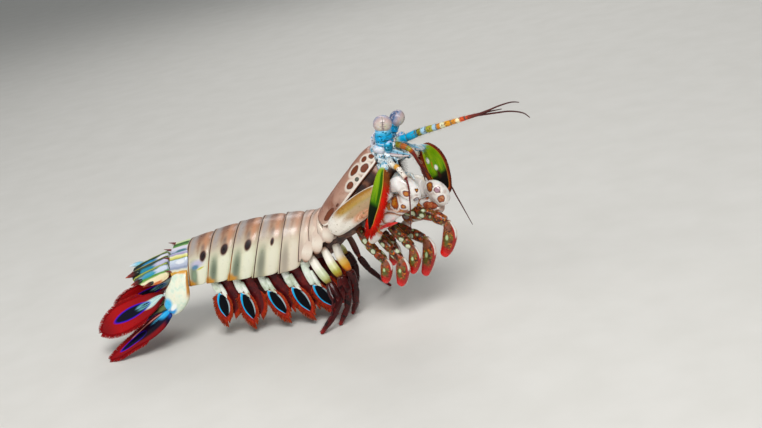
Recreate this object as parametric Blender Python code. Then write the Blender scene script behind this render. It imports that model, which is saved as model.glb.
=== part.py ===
"""Peacock mantis shrimp, life size, standing with its front raised and turned to its right.

Metres, +Z up. The tail points along -X, the head along +X, the animal's left side is +Y.
Sizes below are in millimetres and become metres in solid().
"""
import math
import random

import bmesh
import bpy
from mathutils import Vector
from mathutils.bvhtree import BVHTree

MM = 0.001
GAP = 0.3                        # space kept between two nodes that meet
SHIFT = Vector((-0.1, 12.6, 0))  # puts the middle of the bounding box on the origin
UP = Vector((0, 0, 1))

# Rings of the tail and hind thorax: top and lower edge in the middle plane, half width,
# and how far the belly is hollowed (+) or swollen (-), as a share of the ring's height.
RINGS = [
    # top x, z      edge x, z      y      half w  belly
    ((-57.9, 48.0), (-59.6, 30.0), 0.0, 13.8, 0.26),    # 0  behind abdomen 5
    ((-45.6, 50.2), (-51.0, 30.2), 0.0, 14.5, 0.26),    # 1  abdomen 4/5
    ((-33.0, 52.0), (-40.6, 30.0), 0.0, 15.0, 0.26),    # 2
    ((-20.8, 52.9), (-28.8, 30.4), 0.0, 15.2, 0.26),    # 3
    ((-9.6, 52.6), (-16.4, 31.0), 0.0, 15.0, 0.24),     # 4
    ((-1.0, 51.9), (-5.4, 33.4), 0.0, 14.2, 0.10),      # 5  thorax 8 / abdomen 1
    ((3.4, 51.9), (2.4, 37.0), -0.5, 13.2, 0.0),        # 6
    ((8.0, 53.2), (9.6, 40.3), -1.3, 12.7, -0.08),      # 7  thorax 6/7
]
RING_YAW = [0, 0, 0, 0, 0, -4, -10, -17]

# The raised front: a frame that yaws to the right and pitches up.
FRONT_O = Vector((13.2, -2.7, 46.2))
FRONT_YAW = math.radians(-28)
FRONT_PITCH = math.radians(42.8)
FWD = Vector((math.cos(FRONT_YAW), math.sin(FRONT_YAW), 0))
LEFT = Vector((-math.sin(FRONT_YAW), math.cos(FRONT_YAW), 0))
EDGE0 = (4.1, 48.0)              # where the carapace's side edge starts: forward, height
CARAPACE_TOP = 10.4
CORE_DEPTH = 9.0
LOCK_WIDTH, LOCK_THICK = 1.5, 0.3  # half sizes of one lock of bristles


# ---- places -------------------------------------------------------------------------------
def front(f, lat, z):
    """Point of the raised front: forward of FRONT_O, to the left, and height above the floor."""
    return FRONT_O + FWD * f + LEFT * lat + UP * (z - FRONT_O.z)


def trunk(s, lat, h):
    """Point along the carapace's side edge: s forward along it, h towards the back."""
    c, d = math.cos(FRONT_PITCH), math.sin(FRONT_PITCH)
    return front(EDGE0[0] + s * c - h * d, lat, EDGE0[1] + s * d + h * c)


# ---- meshes -------------------------------------------------------------------------------
def material(name, rgb, rough=0.35):
    mat = bpy.data.materials.get(name)
    if mat is None:
        mat = bpy.data.materials.new(name)
        mat.use_nodes = True
        shader = mat.node_tree.nodes["Principled BSDF"]
        shader.inputs["Base Color"].default_value = (*rgb, 1)
        shader.inputs["Roughness"].default_value = rough
        shader.inputs["Metallic"].default_value = 0.0
    return mat


SHELL = ("shell_cream", (0.62, 0.50, 0.38))
CARAPACE = ("carapace_rose", (0.50, 0.30, 0.22))
DARK = ("thorax_brown", (0.16, 0.07, 0.05))
BLUE = ("stalk_cyan", (0.05, 0.42, 0.60))
PALE = ("head_pale", (0.60, 0.72, 0.75))
EYE = ("eye_pearl", (0.70, 0.60, 0.60))
WHITE = ("claw_white", (0.80, 0.74, 0.66))
OLIVE = ("merus_olive", (0.42, 0.33, 0.08))
RED = ("dactyl_red", (0.62, 0.03, 0.02))
GREEN = ("scale_green", (0.12, 0.30, 0.03))
MAROON = ("limb_maroon", (0.20, 0.03, 0.03))
TAIL = ("tail_green", (0.25, 0.45, 0.25))
BLADE = ("fan_red", (0.35, 0.01, 0.02))
PALP = ("hand_brown", (0.28, 0.06, 0.03))


def closed_mesh(rings, tip_a=0.0, tip_b=0.0):
    """bmesh of one closed body through rings of equal count, its ends domed by tip_a and tip_b."""
    bm = bmesh.new()
    rows = [[bm.verts.new(p) for p in ring] for ring in rings]
    n = len(rows[0])
    for a, b in zip(rows, rows[1:]):
        for i in range(n):
            j = (i + 1) % n
            for tri in ((a[i], a[j], b[j]), (a[i], b[j], b[i])):
                bm.faces.new(tri)
    for row, other, dome in ((rows[0], rows[1], tip_a), (rows[-1], rows[-2], tip_b)):
        mid = sum((v.co for v in row), Vector()) / n
        back = sum((v.co for v in other), Vector()) / n
        hub = bm.verts.new(mid + (mid - back).normalized() * dome)
        for i in range(n):
            j = (i + 1) % n
            bm.faces.new((row[j], row[i], hub) if row is rows[0] else (row[i], row[j], hub))
    bmesh.ops.recalc_face_normals(bm, faces=bm.faces)
    return bm


def solid(name, look, bm):
    """Object from a bmesh in millimetres, moved to the model's origin and scaled to metres."""
    bmesh.ops.translate(bm, verts=bm.verts, vec=SHIFT)
    bmesh.ops.scale(bm, verts=bm.verts, vec=(MM, MM, MM))
    me = bpy.data.meshes.new(name)
    bm.to_mesh(me)
    bm.free()
    me.materials.append(material(*look))
    ob = bpy.data.objects.new(name, me)
    bpy.context.scene.collection.objects.link(ob)
    me.shade_smooth()
    me.set_sharp_from_angle(angle=math.radians(40))
    return ob


def fuse(name, look, bms):
    """One closed body: the first bmesh joined with the others by a Boolean union."""
    body = solid(name, look, bms[0])
    if len(bms) == 1:
        return body
    extra = bpy.data.collections.new(name + "_pieces")
    bpy.context.scene.collection.children.link(extra)
    for i, bm in enumerate(bms[1:]):
        ob = solid(f"{name}_piece_{i}", look, bm)
        bpy.context.scene.collection.objects.unlink(ob)
        extra.objects.link(ob)
    mod = body.modifiers.new("join", "BOOLEAN")
    mod.operation, mod.operand_type, mod.solver = "UNION", "COLLECTION", "EXACT"
    mod.collection = extra
    graph = bpy.context.evaluated_depsgraph_get()
    me = bpy.data.meshes.new_from_object(body.evaluated_get(graph))
    body.modifiers.clear()
    body.data = me
    for ob in list(extra.objects):
        bpy.data.objects.remove(ob)
    bpy.data.collections.remove(extra)
    keep_largest(me)
    return body


def keep_largest(me):
    """Keep the closed surface that holds the most volume."""
    bm = bmesh.new()
    bm.from_mesh(me)
    bmesh.ops.triangulate(bm, faces=bm.faces)
    bmesh.ops.remove_doubles(bm, verts=bm.verts, dist=2e-6)
    bmesh.ops.dissolve_degenerate(bm, edges=bm.edges, dist=2e-6)
    left, groups = set(bm.faces), []
    while left:
        seed = left.pop()
        group, todo = [seed], [seed]
        while todo:
            for edge in todo.pop().edges:
                for face in edge.link_faces:
                    if face in left:
                        left.remove(face)
                        group.append(face)
                        todo.append(face)
        groups.append(group)
    groups.sort(key=lambda g: -abs(sum(f.calc_center_median().dot(f.normal) * f.calc_area()
                                       for f in g)))
    drop = [f for g in groups[1:] for f in g]
    if drop:
        bmesh.ops.delete(bm, geom=drop, context="FACES")
        loose = [v for v in bm.verts if not v.link_faces]
        bmesh.ops.delete(bm, geom=loose, context="VERTS")
    bm.to_mesh(me)
    bm.free()


def smooth_path(stations, sub):
    """Catmull-Rom curve through (point, a, b) stations, with sub steps between two of them."""
    pts = [(Vector(p), a, b) for p, a, b in stations]
    out = []
    for i in range(len(pts) - 1):
        quad = [pts[max(i - 1, 0)], pts[i], pts[i + 1], pts[min(i + 2, len(pts) - 1)]]
        for k in range(sub):
            t = k / sub
            w = (-0.5 * t + t * t - 0.5 * t ** 3, 1 - 2.5 * t * t + 1.5 * t ** 3,
                 0.5 * t + 2 * t * t - 1.5 * t ** 3, -0.5 * t * t + 0.5 * t ** 3)
            p = sum((q[0] * x for q, x in zip(quad, w)), Vector())
            a = sum(q[1] * x for q, x in zip(quad, w))
            b = sum(q[2] * x for q, x in zip(quad, w))
            out.append((p, max(a, 0.12), max(b, 0.12)))
    out.append(pts[-1])
    return out


def limb(stations, side, n=8, sub=2, square=1.0, camber=0.0, tips=(0.3, 0.3), normal=None,
         steady=False):
    """Closed body swept along stations (point, half width, half thickness).

    side is the wide way of its section (kept all along if steady), square under 1 makes the
    section boxier, camber lifts the middle, and normal sets the first ring flat on the surface
    it stands on.
    """
    rings = []
    for p, a, b, t, across, lift in sections(stations, side, sub, normal, steady):
        ring = []
        for k in range(n):
            c, s = math.cos(2 * math.pi * k / n), math.sin(2 * math.pi * k / n)
            cx = math.copysign(abs(c) ** square, c)
            sy = math.copysign(abs(s) ** square, s)
            ring.append(p + across * a * cx + lift * (b * sy - camber * a * cx * cx))
        rings.append(ring)
    return closed_mesh(rings, *tips)


def sections(stations, side, sub, normal=None, steady=False):
    """Point, half width, half thickness, direction, wide way and thick way along stations."""
    path = smooth_path(stations, sub)
    side, out = Vector(side).normalized(), []
    for i, (p, a, b) in enumerate(path):
        t = (path[min(i + 1, len(path) - 1)][0] - path[max(i - 1, 0)][0]).normalized()
        if i == 0 and normal is not None:
            t = Vector(normal).normalized()
        across = (side - t * side.dot(t)).normalized()
        out.append((p, a, b, t, across, t.cross(across)))
        if not steady:
            side = across
    return out


def setae(stations, side, reach, each_side, start, camber=0.0, sides=(-1, 1), steady=False):
    """Flat tapered locks of bristles round the rim of a blade, and the blade drawn in for them.

    reach is how far a lock stands out, each_side how many stand on one side, and start the
    share of the blade's length where they begin.
    """
    rows = sections(stations, side, 4, steady=steady)
    vary, locks = random.Random(7), []
    for sign in sides:
        for k in range(each_side):
            t = start + (1 - start) * ((k + 0.5) / each_side) ** 0.9
            p, a, b, run, across, lift = rows[min(round(t * (len(rows) - 1)), len(rows) - 1)]
            turn = 0.30 + 1.2 * t ** 3
            way = (across * sign + run * turn).normalized()
            wide = run.lerp(-across * sign, min(turn * 0.7, 1)).normalized()
            root = p + across * sign * max(a - reach * 1.1, 0) - lift * camber * a
            far = reach * vary.uniform(1.05, 1.25)
            w = LOCK_WIDTH * vary.uniform(0.9, 1.1)
            locks.append(limb([(root, w, LOCK_THICK), (root + way * far * 0.55, w, LOCK_THICK),
                               (root + way * far, 0.25, 0.15)], wide, n=4, sub=1, tips=(0.2, 0.1)))
    drawn = [(p, max(a - reach * 0.5, 0.45), b) for p, a, b in stations]
    return drawn, locks


def seat(parent, p):
    """Nearest place to p on the parent's surface, lifted GAP off it, and the way off it."""
    me = bpy.data.objects[parent].data
    tree = BVHTree.FromPolygons([v.co for v in me.vertices], [f.vertices for f in me.polygons])
    near = tree.find_nearest((Vector(p) + SHIFT) * MM)[0] / MM - SHIFT
    off = (Vector(p) - near).normalized()
    return near + off * GAP, off


def rooted(parent, stations, first=None):
    """Stations whose first point is moved onto the parent, and the normal of that root."""
    (p, *rest), *more = stations
    place, off = seat(parent, p)
    return [(place, *(first or rest))] + more, off


def at_front(points):
    """Stations given in the raised front's own frame, as world stations."""
    return [(front(*p), *rest) for p, *rest in points]


# ---- tail and hind thorax -----------------------------------------------------------------
def ring_frame(i):
    """Edge-level origin, forward, left, edge-to-top vector, half width and belly of ring i."""
    (tx, tz), (bx, bz), y, hw, belly = RINGS[i]
    yaw = math.radians(RING_YAW[i])
    left = Vector((-math.sin(yaw), math.cos(yaw), 0))
    o, top = Vector((bx, y, bz)), Vector((tx, y, tz))
    rise = top - o
    return o, left.cross(rise).normalized(), left, rise, hw, belly


def t6_front():
    """The ring where thorax 6 meets the carapace and the core."""
    o, top = trunk(-4.0, 0, -4.3), trunk(-2.3, 0, CARAPACE_TOP)
    rise = top - o
    return o, LEFT.cross(rise).normalized(), LEFT, rise, 12.6, -0.12


def mix(a, b, t):
    return tuple(x * (1 - t) + y * t for x, y in zip(a, b))


def arc_point(o, left, rise, hw, ang):
    c, s = math.cos(ang), math.sin(ang)
    return o + left * hw * math.copysign(abs(c) ** 0.78, c) + rise * abs(s) ** 0.88


def d_ring(o, left, rise, hw, belly, lift, shrink, arc=14):
    """Arched section: back from edge to edge, then the thickness of the side plates, then belly."""
    base, up, hw = o + rise * lift, rise * (shrink - lift), hw * shrink
    pts = [arc_point(base, left, up, hw, math.pi * k / arc) for k in range(arc + 1)]
    inner = ((-0.88, 0.02), (-0.74, belly * 0.75), (-0.3, belly), (0.3, belly),
             (0.74, belly * 0.75), (0.88, 0.02))
    pts += [base + left * hw * x + up * y for x, y in inner]
    return pts


def somite(name, a, b, profile, look=SHELL, gap=GAP):
    """Body ring between the frames a and b, half the gap short of both planes."""
    length = (b[0] + b[3] * 0.5 - a[0] - a[3] * 0.5).length
    inset = 0.5 * gap / length
    rings = []
    for t, lift, shrink in profile:
        t = inset + t * (1 - 2 * inset)
        o, _, left, rise, hw, belly = mix(a, b, t)
        rings.append(d_ring(o, left.normalized(), rise, hw, belly, lift, shrink))
    return solid(name, look, closed_mesh(rings))


PROFILE = [(0.0, 0.00, 0.965), (0.12, 0.0, 0.995), (0.5, 0.0, 1.0), (0.86, 0.01, 0.99),
           (1.0, 0.05, 0.955)]
SHORT = [(0.0, 0.01, 0.97), (0.3, 0.0, 1.0), (0.75, 0.01, 0.99), (1.0, 0.04, 0.96)]


def build_tail():
    for i in range(5):
        somite(f"abdomen_{5 - i}", ring_frame(i), ring_frame(i + 1), PROFILE)
    somite("thorax_8", ring_frame(5), ring_frame(6), SHORT, gap=1.4 * GAP)
    somite("thorax_7", ring_frame(6), ring_frame(7), SHORT, gap=1.8 * GAP)
    somite("thorax_6", ring_frame(7), t6_front(), SHORT, gap=1.8 * GAP)


# Abdomen 6 and telson run back from ring 0.
A6_LENGTH, A6_HALF, A6_TOP, A6_LOW = 9.3, 13.0, 47.6, 36.4
TELSON_ROOT, TELSON_LENGTH = Vector((-69.6, 0, 41.0)), 20.5
TELSON_TILT = math.radians(12)


def ridged(x, keels, height, width):
    """Height added by rounded keels at the given distances from the middle."""
    return sum(height * math.exp(-((abs(x) - k) / width) ** 2) for k in keels)


def build_abdomen_6():
    rings = []
    o, _, _, rise, _, _ = ring_frame(0)
    lean = rise.x / rise.z
    for t, shrink in ((0.0, 0.955), (0.15, 1.0), (0.6, 0.99), (1.0, 0.95)):
        x = o.x - GAP - t * A6_LENGTH
        half, low = A6_HALF * shrink, A6_LOW
        top = A6_TOP - 1.2 * t - (1 - shrink) * 8
        ring = []
        for k in range(21):
            ang = math.pi * k / 20
            c, s = math.cos(ang), math.sin(ang)
            y = half * math.copysign(abs(c) ** 0.8, c)
            z = low + (top - low) * s ** 0.75
            z += ridged(y, (0.0, 4.6, 9.0), 0.5, 0.9) * s
            ring.append(Vector((x + lean * (z - o.z), y, z)))
        for y in (-half * 0.6, half * 0.6):
            ring.append(Vector((x + lean * (low - 1 - o.z), y, low - 1.0)))
        rings.append(ring)
    spines = []
    for y, z, size in ((4.6, 46.3, 0.9), (9.0, 43.6, 0.9), (12.0, 39.0, 0.9)):
        for side in (-1, 1):
            root = Vector((o.x - A6_LENGTH + 1.6, side * y, z - 0.6))
            spines.append(limb([(root, size, size * 0.7),
                                (root + Vector((-2.0, 0, 0.3)), size * 0.7, size * 0.5),
                                (root + Vector((-3.6, 0, 0.9)), 0.12, 0.12)],
                               (0, 1, 0), n=6, sub=1, tips=(0.2, 0.1)))
    return fuse("abdomen_6", TAIL, [closed_mesh(rings)] + spines)


def telson_point(x, y, z):
    """x back along the telson, y across, z off its plane."""
    c, s = math.cos(TELSON_TILT), math.sin(TELSON_TILT)
    return TELSON_ROOT + Vector((-x * c - z * s, y, -x * s + z * c))


def telson_surface(x, y, half):
    """Height of the arched, keeled upper face."""
    edge = max(0.0, 1 - (y / half) ** 4)
    arch_drop = 4.4 * (y / 12.2) ** 2
    keels = ridged(y, (0.0,), 1.3, 1.0) * min(1, x / 5 + 0.3) + ridged(y, (3.8, 7.6), 0.8, 0.8)
    return 1.4 + 1.6 * (1 - x / TELSON_LENGTH) ** 0.6 - arch_drop + keels * edge ** 0.5


def build_telson():
    rings = []
    outline = ((0.0, 10.6), (0.06, 11.6), (0.3, 12.2), (0.5, 11.9), (0.7, 10.8), (0.86, 9.0),
               (0.95, 7.2))
    for t, half in outline:
        x = t * TELSON_LENGTH
        thick = 2.6 - 1.0 * t
        ring = [telson_point(x, y, telson_surface(x, y, half))
                for y in (half * math.cos(math.pi * k / 20) for k in range(21))]
        for q in (-0.95, -0.5, 0.0, 0.5, 0.95):
            y = q * half
            ring.append(telson_point(x, y, 1.4 - 4.4 * (y / 12.2) ** 2 - thick * (1.15 - q * q * 0.4)))
        rings.append(ring)
    spines = []
    for x, y, length, turn, size in ((10.5, 11.2, 4.0, 0.20, 1.3), (16.4, 9.0, 4.2, 0.12, 1.4),
                                     (18.0, 4.4, 5.6, 0.05, 1.7)):
        for side in (-1, 1):
            z = 1.0 - 4.4 * (y / 12.2) ** 2
            a = telson_point(x, side * y, z)
            b = telson_point(x + length * 0.55, side * (y + length * 0.5 * turn), z + 0.1)
            c = telson_point(x + length, side * (y + length * turn), z)
            spines.append(limb([(a, size, size * 0.7), (b, size * 0.75, size * 0.5),
                                (c, 0.15, 0.15)], (0, 1, 0), n=6, sub=1, tips=(0.3, 0.1)))
    return fuse("telson", TAIL, [closed_mesh(rings)] + spines)


# ---- tail fan -----------------------------------------------------------------------------
# Right side; the left mirrors it. Points (x, y, z), half width, half thickness.
PROTOPOD = [((-64.6, -12.4, 34.8), 3.0, 1.4), ((-65.4, -14.2, 32.4), 4.6, 2.2),
            ((-66.4, -15.2, 28.6), 6.2, 2.6), ((-69.0, -15.8, 24.6), 5.6, 2.3),
            ((-70.6, -16.0, 22.0), 4.4, 1.8)]
ENDOPOD = [((-75.4, -14.6, 27.0), 2.4, 1.0), ((-80.0, -14.0, 23.6), 4.6, 1.0),
           ((-89.0, -13.8, 20.0), 6.6, 0.9), ((-98.0, -13.9, 16.9), 6.6, 0.7),
           ((-104.5, -14.1, 14.8), 4.8, 0.5), ((-107.6, -14.3, 13.9), 1.8, 0.35)]
EXOPOD = [((-73.2, -16.6, 18.2), 2.6, 1.1), ((-77.0, -16.4, 15.9), 4.4, 1.1),
          ((-84.0, -16.4, 11.9), 5.2, 1.0), ((-92.0, -16.7, 7.8), 5.0, 0.9),
          ((-100.0, -17.1, 3.7), 4.2, 0.6), ((-106.2, -17.5, 0.9), 1.8, 0.4)]


def flank(points, side):
    """The right side's points, or their mirror for the left (side 1)."""
    return [(Vector((p[0], p[1] * -side, p[2])), *rest) for p, *rest in points]


def floor_cut(bm):
    """Press whatever lies below the floor onto it, which gives the small flat that stands."""
    for v in bm.verts:
        v.co.z = max(v.co.z, 0.0)
    return bm


def build_uropods():
    for tag, side in (("R", -1), ("L", 1)):
        stations, off = rooted("abdomen_6", flank(PROTOPOD, side))
        solid(f"uropod_protopod_{tag}", WHITE,
              limb(stations, (-0.80, -0.10 * side, -0.30), n=10, tips=(0.0, 0.6), square=0.8,
                   normal=off))
        base = f"uropod_protopod_{tag}"
        stations, off = rooted(base, flank(ENDOPOD, side))
        drawn, locks = setae(stations, (-0.25, -0.62 * side, 0.75), 2.0, 5, 0.34, -0.10 * side)
        drawn[0] = stations[0]
        blade = limb(drawn, (-0.25, -0.62 * side, 0.75), n=8, sub=2, square=0.7,
                     camber=-0.10 * side, tips=(0.0, 0.3), normal=off)
        fuse(f"uropod_endopod_{tag}", BLADE, [blade] + locks)
        stations, off = rooted(base, flank(EXOPOD, side))
        drawn, locks = setae(stations, (-0.30, -0.66 * side, 0.60), 1.8, 5, 0.42, -0.08 * side)
        drawn[0] = stations[0]
        blade = limb(drawn, (-0.30, -0.66 * side, 0.60), n=8, sub=2, square=0.7,
                     camber=-0.08 * side, tips=(0.0, 0.3), normal=off)
        fuse(f"uropod_exopod_{tag}", BLADE, [floor_cut(bm) for bm in [blade] + locks])


# ---- swimming legs ------------------------------------------------------------------------
# Place under the somite (x), root and tip in the middle plane, for each of abdomen 1 to 5.
PLEOPODS = [(-9.9, (-7.8, 33.0), (4.4, 7.6)), (-20.2, (-17.6, 31.0), (-5.4, 4.0)),
            (-31.6, (-27.6, 31.0), (-19.0, 2.9)), (-43.2, (-38.6, 31.0), (-35.6, 2.9)),
            (-53.4, (-49.8, 31.2), (-48.4, 5.0))]
PLEOPOD_Y = 9.6


def build_pleopods():
    for i, (seat_x, (rx, rz), (tx, tz)) in enumerate(PLEOPODS):
        for tag, side in (("R", -1), ("L", 1)):
            root = Vector((rx, side * PLEOPOD_Y, rz))
            tip = Vector((tx, side * (PLEOPOD_Y + 3.4), tz))
            run = tip - root
            under = Vector((seat_x, side * 8.4, 32.8))
            stations, off = rooted(f"abdomen_{i + 1}",
                                   [(under, 1.2, 1.0), (root + run * 0.10, 2.1, 1.4),
                                    (root + run * 0.34, 2.5, 1.6), (root + run * 0.44, 1.4, 1.0)])
            stem = limb(stations, (1, 0, 0), n=6, sub=1, square=0.8, tips=(0.0, 0.3), normal=off)
            flap = (1, 0.15 * side, 0.1)
            outer = [(root + run * 0.34, 1.2, 0.7), (root + run * 0.45, 3.2, 0.8),
                     (root + run * 0.65, 4.3, 0.8), (root + run * 0.85, 3.6, 0.6), (tip, 1.0, 0.35)]
            lean = Vector((2.6, -3.2 * side, 1.0))
            inner = [(root + run * 0.32, 1.2, 0.7), (root + run * 0.42 + lean * 0.5, 3.0, 0.8),
                     (root + run * 0.62 + lean, 4.2, 0.8), (root + run * 0.8 + lean, 3.6, 0.6),
                     (root + run * 0.95 + lean, 1.0, 0.35)]
            drawn, locks = setae(outer, flap, 1.3, 2, 0.6)
            pieces = [stem, limb(drawn, flap, n=6, sub=1, square=0.7),
                      limb(inner, flap, n=6, sub=1, square=0.7)] + locks
            fuse(f"pleopod_{i + 1}_{tag}", MAROON, pieces)


# ---- walking legs -------------------------------------------------------------------------
# Joints (x, y, z), radius. The last point is the foot.
WALKING = {
    "walking_leg_6_R": [((13.2, -9.6, 36.9), 2.3), ((14.2, -11.6, 32.0), 2.6), ((16.2, -13.4, 24.6), 2.1),
                        ((16.8, -13.0, 16.0), 1.7), ((15.2, -10.6, 7.4), 1.3), ((12.0, -7.4, 0.6), 0.9)],
    "walking_leg_7_R": [((6.0, -10.6, 35.2), 2.3), ((8.6, -13.6, 29.4), 2.6), ((12.0, -16.8, 23.6), 2.1),
                        ((14.2, -18.2, 16.6), 1.7), ((12.2, -18.4, 8.6), 1.3), ((7.0, -18.4, 0.6), 0.9)],
    "walking_leg_8_R": [((-1.2, -10.4, 33.0), 2.3), ((1.8, -13.4, 28.2), 2.6), ((6.4, -17.2, 21.4), 2.1),
                        ((9.6, -20.6, 14.2), 1.7), ((5.6, -23.0, 7.2), 1.3), ((-1.2, -25.0, 0.6), 0.9)],
    "walking_leg_6_L": [((15.6, 3.4, 37.6), 2.3), ((16.6, 6.6, 32.0), 2.6), ((18.2, 9.6, 22.0), 2.1),
                        ((20.8, 13.4, 14.0), 1.7), ((24.6, 17.2, 7.2), 1.3), ((28.6, 20.4, 0.6), 0.9)],
    "walking_leg_7_L": [((6.6, 7.4, 35.0), 2.3), ((8.2, 11.4, 29.8), 2.6), ((11.0, 16.2, 23.0), 2.1),
                        ((13.2, 19.4, 15.4), 1.7), ((12.6, 21.4, 7.6), 1.3), ((10.0, 23.4, 0.6), 0.9)],
    "walking_leg_8_L": [((-1.2, 9.4, 33.0), 2.3), ((0.0, 13.0, 28.4), 2.6), ((1.8, 17.6, 21.8), 2.1),
                        ((2.6, 20.8, 14.2), 1.7), ((-0.6, 22.6, 7.0), 1.3), ((-5.6, 24.0, 0.6), 0.9)],
}


def build_walking_legs():
    for name, joints in WALKING.items():
        parent = f"thorax_{name.split('_')[2]}"
        stations, off = rooted(parent, [(p, r, r * 0.82) for p, r in joints], first=(1.2, 1.0))
        solid(name, MAROON, floor_cut(limb(stations, (0.4, 0.9, 0), n=8, sub=2, tips=(0.0, 0.4),
                                           normal=off)))


# ---- carapace, core and head --------------------------------------------------------------
NECK_S, NECK_LEAN = 45.3, 0.34   # the plane where carapace and core end and the head begins
CARAPACE_ROWS = [(-1.9, 12.0, 9.7), (0.6, 12.5, 10.3), (8.0, 12.4, 10.5), (20.0, 11.9, 10.5),
                 (31.5, 10.9, 10.4), (40.5, 9.9, 10.0), (NECK_S, 8.9, 9.0)]


def arch(s, half, high, n=14, lean=0.0):
    ring = []
    for k in range(n + 1):
        ang = math.pi * k / n
        c, d = math.cos(ang), math.sin(ang)
        y, h = half * math.copysign(abs(c) ** 0.75, c), 0.15 + high * abs(d) ** 0.85
        ring.append(trunk(s - lean * h, y, h))
    return ring


def build_carapace():
    rings = []
    for i, (s, half, high) in enumerate(CARAPACE_ROWS):
        lean = NECK_LEAN * (i / (len(CARAPACE_ROWS) - 1)) ** 3
        ring = arch(s, half, high, lean=lean)
        ring += [trunk(s - lean * 0.15, y * half, 0.15) for y in (-0.7, 0.0, 0.7)]
        rings.append(ring)
    solid("carapace", CARAPACE, closed_mesh(rings))


def build_core():
    rings = []
    for s, half, deep in ((-2.2, 11.2, 6.6), (2.0, 11.4, 8.4), (14.0, 11.2, 9.2), (28.0, 10.2, 9.4),
                          (38.0, 9.2, 9.0), (NECK_S, 8.2, 8.0)):
        ring, lean = [], NECK_LEAN * (s == NECK_S)
        for k in range(13):
            ang = math.pi * k / 12
            c, d = math.cos(ang), math.sin(ang)
            h = -0.15 - deep * abs(d) ** 0.8
            ring.append(trunk(s - 0.10 * deep * d * (s < 0) - lean * h,
                              half * math.copysign(abs(c) ** 0.6, c), h))
        ring += [trunk(s, y * half, -0.15) for y in (-0.6, 0.0, 0.6)]
        rings.append(ring)
    solid("thorax_core", DARK, closed_mesh(rings))


def build_head():
    rings = []
    for s, half, high, low, lean in ((NECK_S + 1.5 * GAP, 8.2, 8.2, -7.0, NECK_LEAN),
                                     (47.6, 8.0, 7.8, -6.8, 0.24), (50.0, 6.2, 6.4, -6.0, 0.12),
                                     (52.0, 3.8, 3.8, -4.2, 0.0)):
        ring = []
        for k in range(16):
            ang = 2 * math.pi * k / 16
            c, d = math.cos(ang), math.sin(ang)
            h = (high if d > 0 else -low) * math.copysign(abs(d) ** 0.85, d)
            ring.append(trunk(s - lean * h, half * math.copysign(abs(c) ** 0.85, c), h))
        rings.append(ring)
    bump = limb(at_front([((37.4, 0, 82.6), 2.6, 2.0), ((37.4, 0, 85.0), 2.2, 1.9),
                          ((37.2, 0, 87.0), 1.4, 1.3)]), LEFT, n=10, sub=1, tips=(0.3, 0.6))
    fuse("head", PALE, [closed_mesh(rings), bump])
    plate = [((29.2, 0, 84.9), 4.6, 0.6), ((30.4, 0, 86.4), 5.2, 0.6), ((31.6, 0, 88.0), 3.6, 0.55),
             ((32.8, 0, 89.8), 0.8, 0.4)]
    stations, off = rooted("carapace", at_front(plate))
    solid("rostral_plate", PALE, limb(stations, LEFT, n=8, sub=1, square=0.7, tips=(0.0, 0.3)))


def build_mouth():
    stations, off = rooted("thorax_core", [(trunk(37.5, 0, -10.6), 2.8, 2.4),
                                           (trunk(39.0, 0, -12.6), 3.8, 3.0),
                                           (trunk(40.0, 0, -15.2), 3.0, 2.4),
                                           (trunk(40.4, 0, -16.8), 1.4, 1.2)])
    solid("mouthparts", WHITE, limb(stations, LEFT, n=10, sub=1, tips=(0.0, 0.4), normal=off))


# ---- eyes, feelers ------------------------------------------------------------------------
EYE_AT = (40.9, 5.5, 94.3)
STALK_AT = (38.6, 4.3, 85.0)


def build_eyes():
    for tag, side in (("R", -1), ("L", 1)):
        eye = front(EYE_AT[0], side * EYE_AT[1], EYE_AT[2])
        base, off = seat("head", front(STALK_AT[0], side * STALK_AT[1], STALK_AT[2]))
        axis = (eye - base).normalized()
        tall = (eye - base).length - 3.7
        solid(f"eyestalk_{tag}", BLUE,
              limb([(base, 1.9, 1.7), (base + axis * tall * 0.3, 3.4, 3.0),
                    (base + axis * tall * 0.75, 3.6, 3.3), (base + axis * tall, 2.9, 2.8)],
                   LEFT, n=12, sub=1, tips=(0.0, 0.0), normal=off))
        start = base + axis * (tall + GAP)
        steps = [(0.0, 2.9), (0.8, 3.45), (2.0, 3.85), (3.6, 3.95), (5.2, 3.6), (6.4, 2.6), (7.0, 1.2)]
        solid(f"eye_{tag}", EYE,
              limb([(start + axis * d, r, r * 0.93) for d, r in steps], LEFT, n=12, sub=1,
                   tips=(0.0, 0.25)))


# Joints (forward, left, height), radius.
ANTENNULE_L = [((43.4, 2.4, 85.4), 1.6), ((46.8, 3.0, 86.6), 1.9), ((51.9, 3.0, 87.9), 1.7),
               ((57.4, 3.0, 88.7), 1.5), ((62.9, 3.0, 89.5), 1.4), ((70.5, 3.0, 91.3), 1.2),
               ((77.6, 3.0, 92.9), 0.95), ((84.7, 3.0, 94.4), 0.7)]
FLAGELLA_L = [[((82.0, 3.0, 93.8), 0.6), ((89.7, 2.6, 96.1), 0.5), ((94.8, 2.2, 97.8), 0.45),
               ((100.6, 2.0, 99.1), 0.4), ((104.2, 2.0, 98.9), 0.25)],
              [((82.0, 3.3, 93.6), 0.6), ((92.6, 4.2, 94.3), 0.5), ((97.8, 5.0, 94.4), 0.45),
               ((103.2, 5.6, 93.3), 0.4), ((105.8, 6.0, 91.1), 0.25)],
              [((82.0, 3.2, 93.8), 0.5), ((89.3, 3.4, 95.2), 0.4), ((94.8, 3.7, 95.9), 0.25)]]
ANTENNULE_R = [((44.6, -2.6, 84.4), 1.6), ((46.8, -3.0, 83.6), 1.8), ((50.2, -3.0, 81.7), 1.5),
               ((52.1, -2.6, 79.0), 1.2), ((52.9, -1.0, 73.6), 0.9)]
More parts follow.
